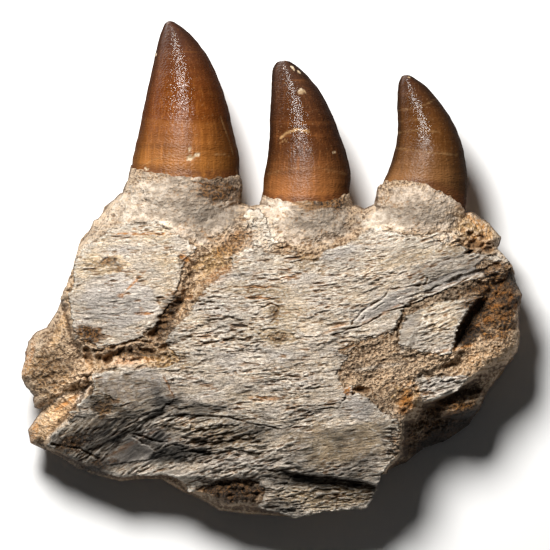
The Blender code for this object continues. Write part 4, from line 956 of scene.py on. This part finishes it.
def grid_piece(name, outline, inside_field, step):
    """A flat sheet of small squares, trimmed to where a plan field is above 0 and drawn onto that line."""
    xs = [x for x, y in outline]
    ys = [y for x, y in outline]
    columns = math.ceil((max(xs) - min(xs) + 2.0 * GRID_MARGIN) / step[0])
    rows = math.ceil((max(ys) - min(ys) + 2.0 * GRID_MARGIN) / step[1])
    bpy.ops.mesh.primitive_grid_add(x_subdivisions=columns, y_subdivisions=rows, size=1.0)
    obj = bpy.context.object
    obj.name = name
    obj.data.name = name
    unit = points_of(obj) * MM
    points = np.zeros(unit.shape)
    points[:, 0] = (max(xs) + min(xs)) / 2.0 + unit[:, 0] * columns * step[0]
    points[:, 1] = (max(ys) + min(ys)) / 2.0 + unit[:, 1] * rows * step[1]
    set_points(obj, points)
    middles = face_middles(obj, points)
    pick(obj, obj.data.polygons, sample(inside_field, middles[:, 0], middles[:, 1]) <= 0.0)
    edit(obj)
    bpy.ops.mesh.delete(type="FACE")
    done_editing()
    middles = face_middles(obj, points_of(obj))
    deepest = np.zeros(len(middles), bool)
    deepest[np.argmax(sample(inside_field, middles[:, 0], middles[:, 1]))] = True
    pick(obj, obj.data.polygons, deepest)
    edit(obj)
    bpy.ops.mesh.select_linked()
    bpy.ops.mesh.select_all(action="INVERT")
    bpy.ops.mesh.delete(type="FACE")
    done_editing()
    points = points_of(obj)
    is_open, ends = open_edges(obj)
    rim = np.unique(ends[is_open])
    for _ in range(3):
        x, y = points[rim, 0], points[rim, 1]
        value = sample(inside_field, x, y)
        slope_x = (sample(inside_field, x + 0.25, y) - sample(inside_field, x - 0.25, y)) / 0.5
        slope_y = (sample(inside_field, x, y + 0.25) - sample(inside_field, x, y - 0.25)) / 0.5
        steep = np.maximum(slope_x ** 2 + slope_y ** 2, 0.25)
        move = np.clip(value / steep, -0.5 * step[1], 0.5 * step[1])
        points[rim, 0] -= move * slope_x
        points[rim, 1] -= move * slope_y
    set_points(obj, points)
    return obj


def thin_out(obj, hidden_field):
    """Swaps the small squares of each hidden floor for a few large faces."""
    middles = face_middles(obj, points_of(obj))
    pick(obj, obj.data.polygons, sample(hidden_field, middles[:, 0], middles[:, 1]) > 0.99)
    edit(obj)
    bpy.ops.mesh.delete(type="FACE")
    done_editing()
    is_open, ends = open_edges(obj)
    middles = points_of(obj)[ends].mean(axis=1)
    inner = is_open & (sample(rock_depth, middles[:, 0], middles[:, 1]) > 0.8)
    on_inner = np.zeros(len(obj.data.vertices), bool)
    on_inner[ends[inner].ravel()] = True
    pick(obj, obj.data.edges, inner, on_inner)
    edit(obj, "EDGE")
    bpy.ops.mesh.fill(use_beauty=False)
    done_editing()


def add_walls(obj, rows):
    """Draws the sheet's rim down in rows, a millimetre apart for now, and closes it below."""
    edit(obj, "EDGE")
    bpy.ops.mesh.select_all(action="DESELECT")
    bpy.ops.mesh.select_non_manifold(
        extend=False, use_wire=False, use_boundary=True, use_multi_face=False,
        use_non_contiguous=False, use_verts=False,
    )
    for _ in range(rows):
        bpy.ops.mesh.extrude_edges_move(TRANSFORM_OT_translate={"value": (0.0, 0.0, -MM)})
    bpy.ops.mesh.fill(use_beauty=False)
    done_editing()


def draw_down(obj, rows, power):
    """Adds the walls. Gives the points, their X and Y, which of them are on a wall, and how far down it."""
    add_walls(obj, rows)
    points = points_of(obj)
    row = np.round(-points[:, 2])
    return points, points[:, 0].copy(), points[:, 1].copy(), row > 0, (row / rows) ** power


def close_up(obj):
    edit(obj)
    bpy.ops.mesh.select_all(action="SELECT")
    bpy.ops.mesh.normals_make_consistent(inside=False)
    done_editing()
    obj.data.shade_smooth()


def store(obj, name, *columns):
    """Keeps one number, or three, for each point of a piece."""
    if len(columns) == 1:
        made = obj.data.attributes.new(name, "FLOAT", "POINT")
        made.data.foreach_set("value", np.asarray(columns[0], np.float32))
    else:
        made = obj.data.attributes.new(name, "FLOAT_VECTOR", "POINT")
        made.data.foreach_set("vector", np.stack(columns, axis=1).astype(np.float32).ravel())


def store_stone_look(obj, points, top_share, is_rock=False):
    """Keeps what the stone and bone finish needs: stains fade out of sight of the front."""
    x, y, z = points.T
    on_top = {name: sample(field, x, y) for name, field in stone_fields.items()}
    marks = {name: value * top_share for name, value in on_top.items()}
    below = 1.0 - top_share
    mottled = lumps(x / 16.0, y / 16.0, z / 9.0, seed=62)
    marks["ochre"] += 0.6 * below * smooth_step(mottled, 0.0, 0.5)
    marks["brown_and_shade"] += 0.6 * below * smooth_step(-mottled, 0.1, 0.5)
    marks["tone"] += below * (sample(wide_tone, x, y) + 0.25 * lumps(x / 9.0, y / 9.0, z / 6.0, seed=63))
    marks["sand"] += below * (1.0 if is_rock else smooth_step(mottled, -0.5, 0.3))
    marks["warmth"] += below * 0.6
    marks["grit"] += below * 0.8
    store(obj, "stains", marks["ochre"], marks["brown_and_shade"], marks["cream"])
    store(obj, "marks", marks["sand"], marks["rust"], marks["dark"])
    store(obj, "fibre", x, on_top["across"], z)
    store(obj, "shade", marks["tone"], marks["hollow"], marks["wide_hollow"])
    store(obj, "kind", marks["warmth"], marks["grit"], marks["gold_and_highlight"])


def place(obj, points):
    """Moves the points from the outlines' origin to the frame's and keeps them inside the object's box."""
    points = points + np.array([CENTRE[0], CENTRE[1], 0.0])
    low, high = (np.array(corner) / MM for corner in cad_box)
    set_points(obj, np.clip(points, low + 0.01, high - 0.01))


def put_in(obj, node, material):
    obj.data.materials.clear()
    obj.data.materials.append(material)
    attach(obj, "root")
    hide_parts(node)


def finish_piece(obj, points, node, material):
    place(obj, points)
    close_up(obj)
    put_in(obj, node, material)


def make_bone(name, material):
    outline, underside = BONES[name]
    obj = grid_piece(name + "_fossil", outline, bone_depth[name], BONE_STEP)
    points, x, y, walls, down = draw_down(obj, BONE_WALL_ROWS, 1.3)
    top = sample(bone_height[name], x, y)
    points[:, 2] = np.maximum(top + (underside - top) * down, underside)
    ledge = 0.5 * lumps(x / 3.0, y / 3.0, points[:, 2] / 1.2, seed=60) * np.sin(math.pi * down)
    points[walls, 0] += ledge[walls]
    points[walls, 1] += ledge[walls]
    store_stone_look(obj, points, 1.0 - smooth_step(down, 0.0, 0.13))
    finish_piece(obj, points, name, material)


def make_rock(material):
    obj = grid_piece("rock_matrix_fossil", ROCK, rock_depth, ROCK_STEP)
    thin_out(obj, pocket.astype(float))
    points, x, y, walls, down = draw_down(obj, ROCK_WALL_ROWS, 1.25)
    top = sample(rock_height, x, y)
    z = top * (1.0 - down)
    rise = np.clip(z / 22.0, 0.0, 1.0)
    flared = smooth_step(x - y, 92.0, 112.0)
    inset = 0.085 * (1.0 - flared) * (1.0 - rise) ** 1.6
    rough = 0.9 * broken(x / 6.0, y / 6.0, z / 5.0, octaves=5, seed=70) * smooth_step(down, 0.0, 0.12)
    up = y - ROCK_MIDDLE_Y
    inward = inset + rough / np.hypot(x, up)
    points[walls, 0] -= (x * inward)[walls]
    points[walls, 1] -= (up * inward)[walls]
    points[:, 2] = z
    store_stone_look(obj, points, 1.0 - smooth_step(down, 0.0, 0.14), True)
    finish_piece(obj, points, "rock_matrix", material)


# ---------------------------------------------------------------- teeth

# Broken spots of the enamel, as patches, and fine lines across or down it: path, width and strength
CHIPS = {
    "rear_tooth_crown": {
        "chips": ((-26.6, 37, 1.2, 1, 0, 0.9), (-24.4, 37.8, 0.9, 0.6, 10, 0.9),
                  (-27, 39.6, 0.4, 0.9, 0, 0.7), (-39.3, 73.4, 0.7, 2.6, 12, 0.8),
                  (-41.6, 33.4, 1, 0.4, -30, 0.6)),
        "lines": ((((-43, 34.4), (-38, 36.8), (-30, 38.4), (-22, 38.6), (-14, 37.8)), 0.4, 0.3),
                  (((-17, 51), (-13.6, 42), (-11.6, 34), (-10.6, 27)), 0.4, 0.3)),
    },
    "middle_tooth_crown": {
        "chips": ((10.3, 59.2, 1.3, 0.8, 10, 0.8), (7.4, 67, 1, 0.4, -50, 0.8),
                  (9.4, 65.6, 0.8, 0.4, -50, 0.7), (21, 38.8, 0.5, 0.4, 0, 0.6)),
        "lines": ((((3.2, 43.6), (5.4, 45.4), (8.4, 46.4), (12.6, 45.8)), 0.65, 1),
                  (((-1, 31.6), (6, 33.4), (16, 33.6), (25, 31.6)), 0.7, 0.15),
                  (((2.4, 41.6), (4.6, 43), (5.4, 42)), 0.3, 0.6)),
    },
    "front_tooth_crown": {
        "chips": ((46, 64, 0.4, 0.3, 0, 0.6),),
        "lines": ((((42.6, 53), (47, 53.6), (52, 55), (55.4, 57)), 0.45, 0.25),
                  (((42, 45.4), (48, 46.2), (56, 45.6)), 0.5, 0.25),
                  (((41, 40.6), (47, 39.4), (54, 38.6), (62, 38)), 0.6, 0.25),
                  (((41.6, 49), (47, 49.6), (54, 49.8)), 0.5, 0.2)),
    },
}


def smooth_rows(table, at):
    """Values of a table's columns at any place between its rows, on one smooth curve."""
    table = np.array(table)
    slopes = np.gradient(table, axis=0)
    place_in = np.clip(at, 0.0, len(table) - 1.0001)
    row = place_in.astype(int)
    t = (place_in - row)[:, None]
    a, b, da, db = table[row], table[row + 1], slopes[row], slopes[row + 1]
    return (
        a * (2 * t ** 3 - 3 * t ** 2 + 1) + da * (t ** 3 - 2 * t ** 2 + t)
        + b * (3 * t ** 2 - 2 * t ** 3) + db * (t ** 3 - t ** 2)
    )


def lofted(name, sections, keel, rings):
    """A ball of rings drawn out along a tooth or root: returns the object, its points, and for each point
    its place along the sections, the direction across and off the section, and how far out from its axis."""
    bpy.ops.mesh.primitive_uv_sphere_add(segments=TOOTH_AROUND, ring_count=rings, radius=1.0)
    obj = bpy.context.object
    obj.name = name
    obj.data.name = name
    ball = points_of(obj) * MM
    turn = np.arctan2(ball[:, 1], ball[:, 0])
    from_tip = np.arccos(np.clip(ball[:, 2], -1.0, 1.0)) / math.pi * rings
    body_rings = rings - CAP_RINGS
    along = (len(sections) - 1) * (1.0 - np.clip(from_tip / body_rings, 0.0, 1.0))
    out = 1.0 - np.clip((from_tip - body_rings) / CAP_RINGS, 0.0, 1.0)
    out = np.where(from_tip < 0.5, 0.0, out)
    height, left, right, middle, depth, tilt, lean = smooth_rows(sections, along).T
    across = np.cos(turn) * out
    off = np.sin(turn) * (1.0 - keel * np.cos(turn) ** 2) * out
    points = np.stack([
        (left + right) / 2.0 + (right - left) / 2.0 * across,
        height + tilt * across + lean * off,
        middle + depth * off,
    ], axis=1)
    return obj, points, along, np.cos(turn), np.sin(turn), out


def make_crown(name, sections, seed, material):
    obj, points, along, cos_turn, sin_turn, out = lofted(name + "_fossil", sections, 0.16, CROWN_RINGS)
    x, y, z = points.T.copy()
    share = along / (len(sections) - 1)
    ripple = 0.07 * lumps(x / 1.6, y / 16.0, z / 1.6, seed=seed)
    ripple = ripple + 0.16 * lumps(x / 9.0, y / 2.4, z / 9.0, seed=seed + 1)
    edge_line = np.exp(-((abs(sin_turn) / 0.07) ** 2)) * 0.35 * smooth_step(share, 0.05, 0.3)
    swell = (ripple + edge_line) * out * smooth_step(1.0 - share, 0.0, 0.08)
    marks = CHIPS[name]
    warp = 0.7 * broken(x / 1.4, y / 1.1, z / 1.4, octaves=4, seed=seed + 2)
    front = (z > 20.0) * 1.0
    chipped = smooth_step(patches(x, y, marks["chips"], warp), 0.15, 0.45) * front
    lines = np.zeros(x.shape)
    for path, width, strength in marks["lines"]:
        away = path_distance(x, y + 0.35 * warp, path)
        faint = np.clip(0.7 + 1.2 * lumps(x / 3.0, y / 3.0, z / 3.0, seed=seed + 3), 0.0, 1.0)
        drawn = 1.0 - smooth_step(away, 0.1 * width, 0.8 * width)
        lines = np.maximum(lines, strength * faint * front * drawn)
    swell = swell - 0.25 * chipped
    points[:, 0] += cos_turn * swell
    points[:, 2] += sin_turn * swell
    store(obj, "tooth", share, chipped, lines)
    store(obj, "side", smooth_step(abs(cos_turn + 0.25), 0.30, 0.65))
    # Painted shade: the crown's sides are darkened, the right one most, as if turned from the lamp.
    store(obj, "painted_side_shade", 0.8 * smooth_step(cos_turn, 0.3, 0.95) + 0.7 * smooth_step(-cos_turn, 0.75, 1.0))
    finish_piece(obj, points, name, material)


def make_root(name, sections, seed, material):
    obj, points, along, cos_turn, sin_turn, out = lofted(name + "_fossil", sections, 0.0, ROOT_RINGS)
    x, y, z = points.T.copy()
    top = smooth_step(along, len(sections) - 2.4, len(sections) - 1.0)
    front = smooth_step(sin_turn, 0.1, 0.6)
    rough = 0.7 * broken(x / 7.0, y / 7.0, z / 7.0, octaves=3, seed=seed)
    grains = 0.20 * lumps(x / 0.9, y / 0.9, z / 0.9, seed=seed + 4) * (1.0 - front)
    swell = (rough + grains) * (1.0 - 0.8 * top) + 0.12
    points[:, 0] += cos_turn * swell * out
    points[:, 2] += sin_turn * swell * out
    points[:, 2] += front * (sample(sanded, x, y) - 0.6 * sample(cracked, x, y)) * out * (1.0 - top)
    points[:, 1] += top * 0.9 * broken(x / 3.0, z / 3.0, octaves=4, seed=seed + 5)
    store_stone_look(obj, points, np.ones(len(points)))
    finish_piece(obj, points, name, material)


# ---------------------------------------------------------------- finishes

GREY_BONE = (0.68, 0.605, 0.54)
WARM_BONE = (0.86, 0.66, 0.435)
DULL_FIBRE = (0.42, 0.33, 0.24)
PALE_FIBRE = (0.95, 0.85, 0.72)
BONE_GAP_SHADE = (0.17, 0.105, 0.055)
BONE_SPECK = (0.14, 0.09, 0.05)
BROWN_ROCK = (0.35, 0.222, 0.128)
TAN_ROCK = (0.45, 0.312, 0.198)
DARK_CLUMP = (0.19, 0.105, 0.048)
PALE_GRAIN = (0.66, 0.49, 0.31)
DARK_GRAIN = (0.06, 0.032, 0.014)
DULL_PLASTER = (0.31, 0.243, 0.183)
PALE_PLASTER = (0.51, 0.418, 0.330)
PLASTER_GRAIN = (0.22, 0.15, 0.09)
DULL_CREAM = (0.55, 0.46, 0.365)
PALE_CREAM = (0.82, 0.735, 0.62)
CREAM_GRAIN = (0.26, 0.17, 0.10)
GOLD_SAND_AND_HIGHLIGHT = (0.66, 0.41, 0.20)
PALE_OCHRE = (0.40, 0.245, 0.090)
DEEP_OCHRE = (0.19, 0.105, 0.038)
ORANGE_BROWN = (0.30, 0.128, 0.026)
BLACK_BROWN = (0.032, 0.013, 0.003)
RUST_RED = (0.54, 0.20, 0.026)
HOLLOW_SHADE = (0.11, 0.060, 0.026)
WORN_AND_LIT_BONE = (0.93, 0.85, 0.73)
WORN_AND_LIT_ROCK = (0.62, 0.46, 0.31)
CRACK_EDGE = (0.38, 0.205, 0.085)
CREVICE_SHADE = (0.030, 0.015, 0.007)
ENAMEL_SPECK = (0.30, 0.17, 0.08)
ENAMEL_HEM = (0.085, 0.028, 0.010)
ENAMEL_LINE = (0.42, 0.25, 0.11)
DARK_CHALK = (0.30, 0.20, 0.11)
PALE_CHALK = (0.58, 0.47, 0.33)


class Value:
    """A number that varies over a surface; sums on it add Math nodes."""

    def __init__(self, look, socket):
        self.look = look
        self.socket = socket

    def math(self, operation, *others):
        return self.look.math(operation, self, *others)

    def __add__(self, other):
        return self.math("ADD", other)

    __radd__ = __add__

    def __sub__(self, other):
        return self.math("SUBTRACT", other)

    def __rsub__(self, other):
        return self.look.math("SUBTRACT", other, self)

    def __mul__(self, other):
        return self.math("MULTIPLY", other)

    __rmul__ = __mul__

    def ramp(self, low, high):
        """0 below low, 1 above high and a smooth rise between."""
        values = {"Value": self, "From Min": low, "From Max": high}
        node = self.look.add("ShaderNodeMapRange", {"interpolation_type": "SMOOTHSTEP"}, values)
        return Value(self.look, node.outputs["Result"])


class Look:
    """A material under construction."""

    def __init__(self, name):
        self.material = bpy.data.materials.new(name)
        self.material.use_nodes = True
        self.tree = self.material.node_tree
        self.shader = self.tree.nodes["Principled BSDF"]

    def feed(self, socket, value):
        """Links a socket to another's output, or sets its value."""
        if isinstance(value, Value):
            value = value.socket
        if isinstance(value, bpy.types.NodeSocket):
            self.tree.links.new(value, socket)
        else:
            socket.default_value = value

    def add(self, kind, settings=None, values=None):
        """Adds a node: its settings first, then the values or links of its sockets, by name or number."""
        node = self.tree.nodes.new(kind)
        for key, setting in (settings or {}).items():
            setattr(node, key, setting)
        for key, value in (values or {}).items():
            self.feed(node.inputs[key], value)
        return node

    def math(self, operation, *operands):
        node = self.add("ShaderNodeMath", {"operation": operation}, dict(enumerate(operands)))
        return Value(self, node.outputs[0])

    def attribute(self, name):
        return self.add("ShaderNodeAttribute", {"attribute_name": name}).outputs

    def three(self, name):
        """The three numbers kept together under a name."""
        node = self.add("ShaderNodeSeparateXYZ", {}, {0: self.attribute(name)["Vector"]})
        return [Value(self, socket) for socket in node.outputs]

    def number(self, name):
        return Value(self, self.attribute(name)["Fac"])

    def where(self):
        return self.add("ShaderNodeTexCoord").outputs["Object"]

    def scaled(self, vector, scale):
        return self.add("ShaderNodeVectorMath", {"operation": "MULTIPLY"}, {0: vector, 1: scale}).outputs[0]

    def brighter(self, colour, amount):
        values = {0: colour, "Scale": amount}
        return self.add("ShaderNodeVectorMath", {"operation": "SCALE"}, values).outputs[0]

    def noise(self, vector, detail=4.0, roughness=0.55):
        values = {"Vector": vector, "Scale": 1.0, "Detail": detail, "Roughness": roughness}
        return Value(self, self.add("ShaderNodeTexNoise", {}, values).outputs["Fac"])

    def mix(self, share, first, second):
        node = self.add("ShaderNodeMix", {"data_type": "RGBA"}, {"Factor": share})
        for socket, value in zip([s for s in node.inputs if s.type == "RGBA"], (first, second)):
            self.feed(socket, (*value, 1.0) if isinstance(value, tuple) else value)
        return [s for s in node.outputs if s.type == "RGBA"][0]

    def bump(self, height, distance):
        values = {"Height": height, "Distance": distance * MM, "Strength": 1.0}
        return self.add("ShaderNodeBump", {}, values).outputs["Normal"]

    def finish(self, colour, roughness, normal):
        for key, value in (("Base Color", colour), ("Roughness", roughness), ("Normal", normal)):
            self.feed(self.shader.inputs[key], value)
        return self.material

    def finish_dull(self, dull_share, colour, roughness, normal):
        """A gloss that gives way to a dull finish where the share says."""
        self.finish(colour, roughness, normal)
        values = {"Base Color": colour, "Roughness": 0.8, "Normal": normal}
        dull = self.add("ShaderNodeBsdfPrincipled", {}, values)
        dull.inputs["Specular IOR Level"].default_value = 0.05
        values = {0: dull_share, 1: self.shader.outputs[0], 2: dull.outputs[0]}
        both = self.add("ShaderNodeMixShader", {}, values)
        self.tree.links.new(both.outputs[0], self.tree.nodes["Material Output"].inputs["Surface"])
        return self.material


def stone_finish(name):
    """Sand-covered rock and fibrous bone, as each point's stored marks say."""
    look = Look(name)
    where = look.where()
    fibre = look.attribute("fibre")["Vector"]
    ochre_share, brown_and_shade_share, cream_share = look.three("stains")
    sand_share, rust_share, crevice_shade_share = look.three("marks")
    tone_share, hollow_value, wide_value = look.three("shade")
    warmth, grit, gold_highlight_share = look.three("kind")

    streak = look.noise(look.scaled(fibre, (0.40, 1.3, 0.6)), detail=5.0, roughness=0.6)
    threads = look.noise(look.scaled(fibre, (1.1, 2.5, 0.8)), detail=2.0)
    fine = look.noise(look.scaled(fibre, (1.8, 3.8, 1.5)), detail=2.0)
    bone = look.mix(warmth, GREY_BONE, WARM_BONE)
    bone = look.mix(streak.ramp(0.52, 0.62) * 0.3, bone, DULL_FIBRE)
    bone = look.mix((1.0 - streak).ramp(0.52, 0.62) * 0.5, bone, PALE_FIBRE)
    # Painted shade: the fibre gaps, which the bump sinks, are darkened.
    gaps = threads.ramp(0.60, 0.66)
    bone = look.mix(gaps * 0.6, bone, BONE_GAP_SHADE)
    specks = fine.ramp(0.60, 0.66)
    bone = look.mix(specks * 0.6 * grit, bone, BONE_SPECK)

    grains = look.noise(look.scaled(where, (1150.0, 1150.0, 1150.0)), detail=2.0, roughness=0.6)
    clumps = look.noise(look.scaled(where, (420.0, 420.0, 420.0)), detail=4.0)
    areas = look.noise(look.scaled(where, (70.0, 70.0, 70.0)), detail=3.0)
    rock = look.mix(areas.ramp(0.38, 0.62), BROWN_ROCK, TAN_ROCK)
    rock = look.mix(clumps.ramp(0.46, 0.62) * 0.4, rock, DARK_CLUMP)
    rock = look.mix((1.0 - grains).ramp(0.52, 0.62) * 0.5, rock, PALE_GRAIN)
    rock = look.mix(grains.ramp(0.52, 0.60) * 0.75, rock, DARK_GRAIN)
    plaster = look.mix((1.0 - clumps).ramp(0.40, 0.60), DULL_PLASTER, PALE_PLASTER)
    plaster = look.mix(grains.ramp(0.53, 0.62) * 0.5, plaster, PLASTER_GRAIN)
    rock = look.mix((1.0 - grit).ramp(0.1, 0.7), rock, plaster)
    pale = look.mix((1.0 - clumps).ramp(0.42, 0.60), DULL_CREAM, PALE_CREAM)
    pale = look.mix(grains.ramp(0.54, 0.64) * (0.15 + grit * 0.3), pale, CREAM_GRAIN)

    # Gold sand, partly a painted highlight along lit edges.
    rock = look.mix(gold_highlight_share * ((1.0 - clumps).ramp(0.36, 0.60) * 0.6 + 0.3), rock, GOLD_SAND_AND_HIGHLIGHT)

    sand_share = (sand_share + (clumps - 0.5) * 1.5).ramp(0.34, 0.66)
    colour = look.mix(sand_share, bone, rock)
    colour = look.mix(cream_share * (0.6 + sand_share * 0.4), colour, pale)
    stain = look.mix(grains.ramp(0.42, 0.62), PALE_OCHRE, DEEP_OCHRE)
    colour = look.mix(ochre_share * (clumps.ramp(0.32, 0.58) * 0.55 + 0.4), colour, stain)
    # Brown stains, with painted shade where the brown marks stand for shadows.
    deep = look.mix(grains.ramp(0.38, 0.60), ORANGE_BROWN, BLACK_BROWN)
    colour = look.mix(brown_and_shade_share * (clumps.ramp(0.28, 0.54) * 0.36 + 0.64), colour, deep)
    colour = look.mix(rust_share * (clumps.ramp(0.34, 0.58) * 0.5 + 0.45), colour, RUST_RED)
    # Painted shade: the colour is darkened in narrow and wide hollows.
    hollow_shade = hollow_value.ramp(0.04, 0.30) * 0.6 + wide_value.ramp(0.15, 1.4) * 0.2
    colour = look.mix(hollow_shade, colour, HOLLOW_SHADE)
    # Convex rims are lightened: partly wear, partly a painted highlight on the edges.
    worn_and_lit = (0.0 - hollow_value).ramp(0.03, 0.20) * (0.7 - crevice_shade_share) * (1.0 - brown_and_shade_share * 0.92)
    rim = look.mix(sand_share, WORN_AND_LIT_BONE, WORN_AND_LIT_ROCK)
    colour = look.mix(worn_and_lit, colour, rim)
    # Painted shade in cracks, slits and pores: a brown fringe round a near-black core.
    colour = look.mix(crevice_shade_share.ramp(0.0, 0.3) * 0.6, colour, CRACK_EDGE)
    colour = look.mix(crevice_shade_share.ramp(0.25, 0.9), colour, CREVICE_SHADE)
    # The stored tone scales the colour: the surface's own tone with painted light and shade.
    colour = look.brighter(colour, tone_share)

    flakes = streak.ramp(0.42, 0.44) + streak.ramp(0.49, 0.51) + streak.ramp(0.56, 0.58)
    scales = fine.ramp(0.44, 0.47) + fine.ramp(0.53, 0.56)
    bone_height = (flakes * 0.26 + scales * 0.14 + specks * -0.3 + gaps * -0.35) * grit + fine * -0.3
    rock_height = (grains * -2.6 + clumps * -1.0) * (grit * 0.85 + 0.15)
    height = bone_height + sand_share * (rock_height - bone_height)
    return look.finish(colour, 0.85, look.bump(height, 0.95))


def enamel_finish(name, tip, middle, base, banding):
    look = Look(name)
    share, chipped, lines = look.three("tooth")
    shaded = look.number("painted_side_shade")
    side = look.number("side")
    where = look.where()
    streaks = look.noise(look.scaled(where, (1300.0, 60.0, 1300.0)), detail=3.0)
    wide_streaks = look.noise(look.scaled(where, (260.0, 30.0, 260.0)), detail=3.0)
    bands = look.noise(look.scaled(where, (18.0, 300.0, 18.0)), detail=4.0, roughness=0.6)
    wrinkles = look.noise(look.scaled(where, (1000.0, 2200.0, 1000.0)), detail=1.5)
    crackle = look.noise(look.scaled(where, (500.0, 500.0, 500.0)), detail=3.0)
    specks = look.noise(look.scaled(where, (1500.0, 1100.0, 1500.0)), detail=1.0)
    colour = look.mix(share.ramp(0.06, 0.40), base, middle)
    colour = look.mix(share.ramp(0.38, 0.80), colour, tip)
    colour = look.mix(bands.ramp(0.46, 0.68) * banding * 0.7, colour, tuple(0.42 * v for v in middle))
    colour = look.mix((1.0 - bands).ramp(0.54, 0.70) * banding * 0.35, colour, tuple(1.25 * v for v in base))
    colour = look.mix(wide_streaks.ramp(0.45, 0.70) * 0.22, colour, tuple(0.45 * v for v in middle))
    lighter = (1.0 - share).ramp(0.35, 0.95)
    streaked = streaks.ramp(0.50, 0.68) * (lighter * 0.16 + 0.06)
    colour = look.mix(streaked, colour, tuple(1.6 * v for v in base))
    colour = look.mix((1.0 - streaks).ramp(0.52, 0.70) * 0.15, colour, tuple(0.35 * v for v in middle))
    colour = look.mix(specks.ramp(0.66, 0.74) * 0.35, colour, ENAMEL_SPECK)
    # Painted shade on the crown's sides.
    colour = look.mix(shaded, colour, tuple(0.14 * v for v in middle))
    hem = (1.0 - share).ramp(0.855, 0.90)
    colour = look.mix(hem * (crackle.ramp(0.35, 0.6) * 0.4 + 0.35), colour, ENAMEL_HEM)
    colour = look.mix(lines, colour, ENAMEL_LINE)
    chalk = look.mix(crackle.ramp(0.4, 0.6), DARK_CHALK, PALE_CHALK)
    colour = look.mix(chipped, colour, chalk)
    matt = (1.0 - share).ramp(0.52, 0.74)
    roughness = 0.10 + crackle.ramp(0.4, 0.7) * 0.05 + matt * 0.34 + chipped * 0.5
    look.shader.inputs["IOR"].default_value = 1.45
    look.shader.inputs["Specular IOR Level"].default_value = 0.42
    return look.finish_dull(side, colour, roughness, look.bump(wrinkles + crackle * 0.4, 0.38))


# ---------------------------------------------------------------- the object

# Each crown: its sections, its enamel's name, the colours of its tip, middle and base, and how banded it is
CROWNS = {
    "rear_tooth_crown": (
        REAR_CROWN, "amber_enamel", (0.050, 0.021, 0.013), (0.130, 0.033, 0.004), (0.36, 0.140, 0.030), 0.45,
    ),
    "middle_tooth_crown": (
        MIDDLE_CROWN, "dark_enamel", (0.048, 0.021, 0.012), (0.074, 0.023, 0.006), (0.33, 0.122, 0.034), 0.5,
    ),
    "front_tooth_crown": (
        FRONT_CROWN, "tan_enamel", (0.046, 0.016, 0.006), (0.088, 0.031, 0.006), (0.22, 0.098, 0.033), 0.6,
    ),
}

bone_material = stone_finish("fossil_bone_fibres")
for bone_name in BONES:
    make_bone(bone_name, bone_material)
make_rock(stone_finish("sandy_rock_grains"))
root_material = stone_finish("root_cement_grain")
for k, (root_name, root_sections) in enumerate(ROOTS.items()):
    make_root(root_name, root_sections, 80 + 10 * k, root_material)
for k, (crown_name, (crown_sections, *enamel)) in enumerate(CROWNS.items()):
    make_crown(crown_name, crown_sections, 110 + 10 * k, enamel_finish(*enamel))

# ---------------------------------------------------------------- table, light and camera

bpy.ops.object.select_all(action="DESELECT")
bpy.ops.mesh.primitive_plane_add(size=6.0)
table = bpy.context.object
table.name = "table_top"
table_look = Look("white_table")
table_look.shader.inputs["Base Color"].default_value = (0.9, 0.9, 0.9, 1.0)
table_look.shader.inputs["Roughness"].default_value = 0.9
table.data.materials.append(table_look.material)

LIGHT_DISTANCE = 700.0
LIGHT_TARGET = Vector((0.0, -25.0, 20.0))
LIGHT_SIZE = 0.235            # metres
LIGHT_POWER = 9.2             # watts
SKY_STRENGTH = 0.035
LIGHT_FROM = Vector((-0.28, 0.72, 1.0)).normalized()
key = bpy.data.lights.new("soft_box", "AREA")
key.shape = "DISK"
key.size = LIGHT_SIZE
key.energy = LIGHT_POWER
key.color = (1.0, 0.985, 0.96)
key_obj = bpy.data.objects.new("soft_box", key)
bpy.context.scene.collection.objects.link(key_obj)
key_obj.location = (LIGHT_TARGET + LIGHT_FROM * LIGHT_DISTANCE) * MM
key_obj.rotation_euler = LIGHT_FROM.to_track_quat("Z", "Y").to_euler()

world = bpy.data.worlds.new("studio")
world.use_nodes = True
world.node_tree.nodes["Background"].inputs["Color"].default_value = (1.0, 1.0, 1.0, 1.0)
world.node_tree.nodes["Background"].inputs["Strength"].default_value = SKY_STRENGTH
bpy.context.scene.world = world

CAMERA_DISTANCE = 2500.0
VIEW_WIDTH = 550.0 / 3.0      # the picture's width on the object
VIEW_MIDDLE = (4.0 / 3.0, -2.0, 33.0)
SENSOR_WIDTH = 36.0
camera = bpy.data.cameras.new("camera")
camera.sensor_width = SENSOR_WIDTH
camera.lens = SENSOR_WIDTH * CAMERA_DISTANCE / VIEW_WIDTH
camera.clip_start = 0.1
camera.clip_end = 20.0
camera_obj = bpy.data.objects.new("camera", camera)
bpy.context.scene.collection.objects.link(camera_obj)
camera_obj.location = (
    (VIEW_MIDDLE[0] + CENTRE[0]) * MM, (VIEW_MIDDLE[1] + CENTRE[1]) * MM,
    (CAMERA_DISTANCE + VIEW_MIDDLE[2]) * MM,
)
bpy.context.scene.camera = camera_obj
bpy.context.scene.view_settings.view_transform = "Standard"
